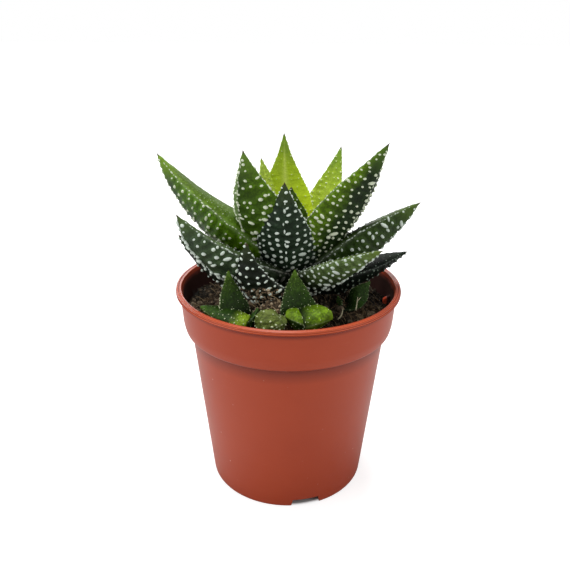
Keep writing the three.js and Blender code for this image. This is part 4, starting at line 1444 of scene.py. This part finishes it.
ground, bed = makeGround()
grains = scatterTree("grains", grainShape, ("Fineness", "Int", 1))
fibres = scatterTree("fibres", fibreShape, ("Thickness", "Float", 0.08 * mm))
lowFront = bpy.data.objects["haworthia_leaf_low_front"].data
loose = [
    scattered("crumb", bed, grains, "crumbs", True, Fineness=1),
    scattered("lump", bed, grains, "crumbs", True, Fineness=2),
    scattered("gritGrain", bed, grains, "grit", True, Fineness=2),
    # fibres keep clear of the pot's wall
    scattered("fibreBit", bedRound((0, 0), soil["fibreReach"]), fibres, "fibre",
              Thickness=soil["fibreThickness"] * mm),
    scattered("hairBit", bedRound(soil["hairPlace"], soil["hairReach"]), fibres, "hair",
              Thickness=soil["hairThickness"] * mm),
    makeWhiteGrain(),
    scattered("clingCrumb", partOf("cling", lowFront, onLeafFoot), grains, "crumbs", Fineness=1),
    *[sliver(f"sliver{i}", *row) for i, row in enumerate(soilBits)],
]
bpy.data.objects.remove(bed)
ground = joined(ground, loose)
fitted(ground, "soil", "soil")
print("soil made, with", len(ground.data.polygons), "faces")


# camera, light and floor

# place in metres, focal length and width in pixels, angles in radians, sensor in millimetres
view = {
    "place": (0, -0.2267186, 0.1752512), "focal": 644.1509, "width": 570,
    "yaw": -0.0057, "pitch": 0.3986, "roll": -0.0069, "sensor": 36,
}
studio = {
    "areas": {  # place, size and power
        "left": ((-0.6, -0.3, 0.35), 0.45, 2.5),
        "right": ((0.6, -0.3, 0.3), 0.45, 1.6),
        "back": ((-0.12, 0.55, 0.42), 0.35, 2.4),
    },
    "aim": (0, 0, 0.08), "sun": (-0.1, 0.1, 1.0), "sunStrength": 2.4, "sunAngle": 24,
    "sky": 0.42, "skySeen": 1.0,
    "floorTone": 0.5, "floorGlow": 0.72, "floorLit": (28.9, 30.2), "floorHalf": 4000,
}


def makeCamera():
    yaw, pitch, roll = view["yaw"], view["pitch"], view["roll"]
    camera = bpy.data.cameras.new("camera")
    camera.lens = view["focal"] / view["width"] * view["sensor"]
    camera.sensor_width = view["sensor"]
    holder = shown("camera", camera)
    forward = Vector((math.sin(yaw) * math.cos(pitch), math.cos(yaw) * math.cos(pitch), -math.sin(pitch)))
    level = Vector((math.cos(yaw), -math.sin(yaw), 0))
    below = forward.cross(level)
    right = math.cos(roll) * level + math.sin(roll) * below
    down = -math.sin(roll) * level + math.cos(roll) * below
    turn = Matrix((right, -down, -forward)).transposed().to_4x4()
    holder.matrix_world = Matrix.Translation(Vector(view["place"])) @ turn
    bpy.context.scene.camera = holder


def addLamp(name, kind, direction, place=(0, 0, 0), **settings):
    light = bpy.data.lights.new(name, kind)
    for key, value in settings.items():
        setattr(light, key, value)
    holder = shown(name, light)
    holder.location = place
    holder.rotation_euler = Vector(direction).to_track_quat("-Z", "Y").to_euler()


def cameraRays(tree, seen, otherwise):
    # one value for what the camera sees straight on, another for the light that reaches the plant
    return mapped(tree, node(tree, "ShaderNodeLightPath", {}, "Is Camera Ray"), 0, 1, otherwise, seen)


def makeFloor():
    material, tree, shader = newMaterial("floor", 0.9, 0.0)
    tone = studio["floorTone"]
    pale, dark = (tone, tone, tone, 1), (tone * 0.98, tone * 0.98, tone * 0.98, 1)
    coat = placed(tree, mottle, Scale=3.0, Amount=0.1, Colour=pale, Blotch=dark)
    link(tree, coat, shader["Base Color"])
    # it glows from the pot's foot outwards; under the pot it has no glow, a painted shadow
    fromAxis = vectors(tree, "LENGTH", objectPlace(tree), out="Value")
    beyondFoot = rising(tree, fromAxis, *studio["floorLit"])
    glow = times(tree, cameraRays(tree, studio["floorGlow"], 0.0), beyondFoot)
    shader["Emission Color"].default_value = (1, 1, 1, 1)
    link(tree, glow, shader["Emission Strength"])
    half = studio["floorHalf"]
    corners = [(-half, -half, 0), (half, -half, 0), (half, half, 0), (-half, half, 0)]
    return addMesh("floor", corners, [(0, 1, 2, 3)], [material])


makeCamera()
for name, (place, size, power) in studio["areas"].items():
    addLamp(name, "AREA", Vector(studio["aim"]) - Vector(place), place, energy=power, size=size)
sunAngle = math.radians(studio["sunAngle"])
addLamp("sun", "SUN", -Vector(studio["sun"]), energy=studio["sunStrength"], angle=sunAngle)

world = bpy.data.worlds.new("studio")
world.use_nodes = True
sky = world.node_tree.nodes["Background"].inputs
sky["Color"].default_value = (1, 1, 1, 1)
link(world.node_tree, cameraRays(world.node_tree, studio["skySeen"], studio["sky"]), sky["Strength"])
bpy.context.scene.world = world
bpy.context.scene.view_settings.view_transform = "Standard"
floor = makeFloor()
print("scene lit")
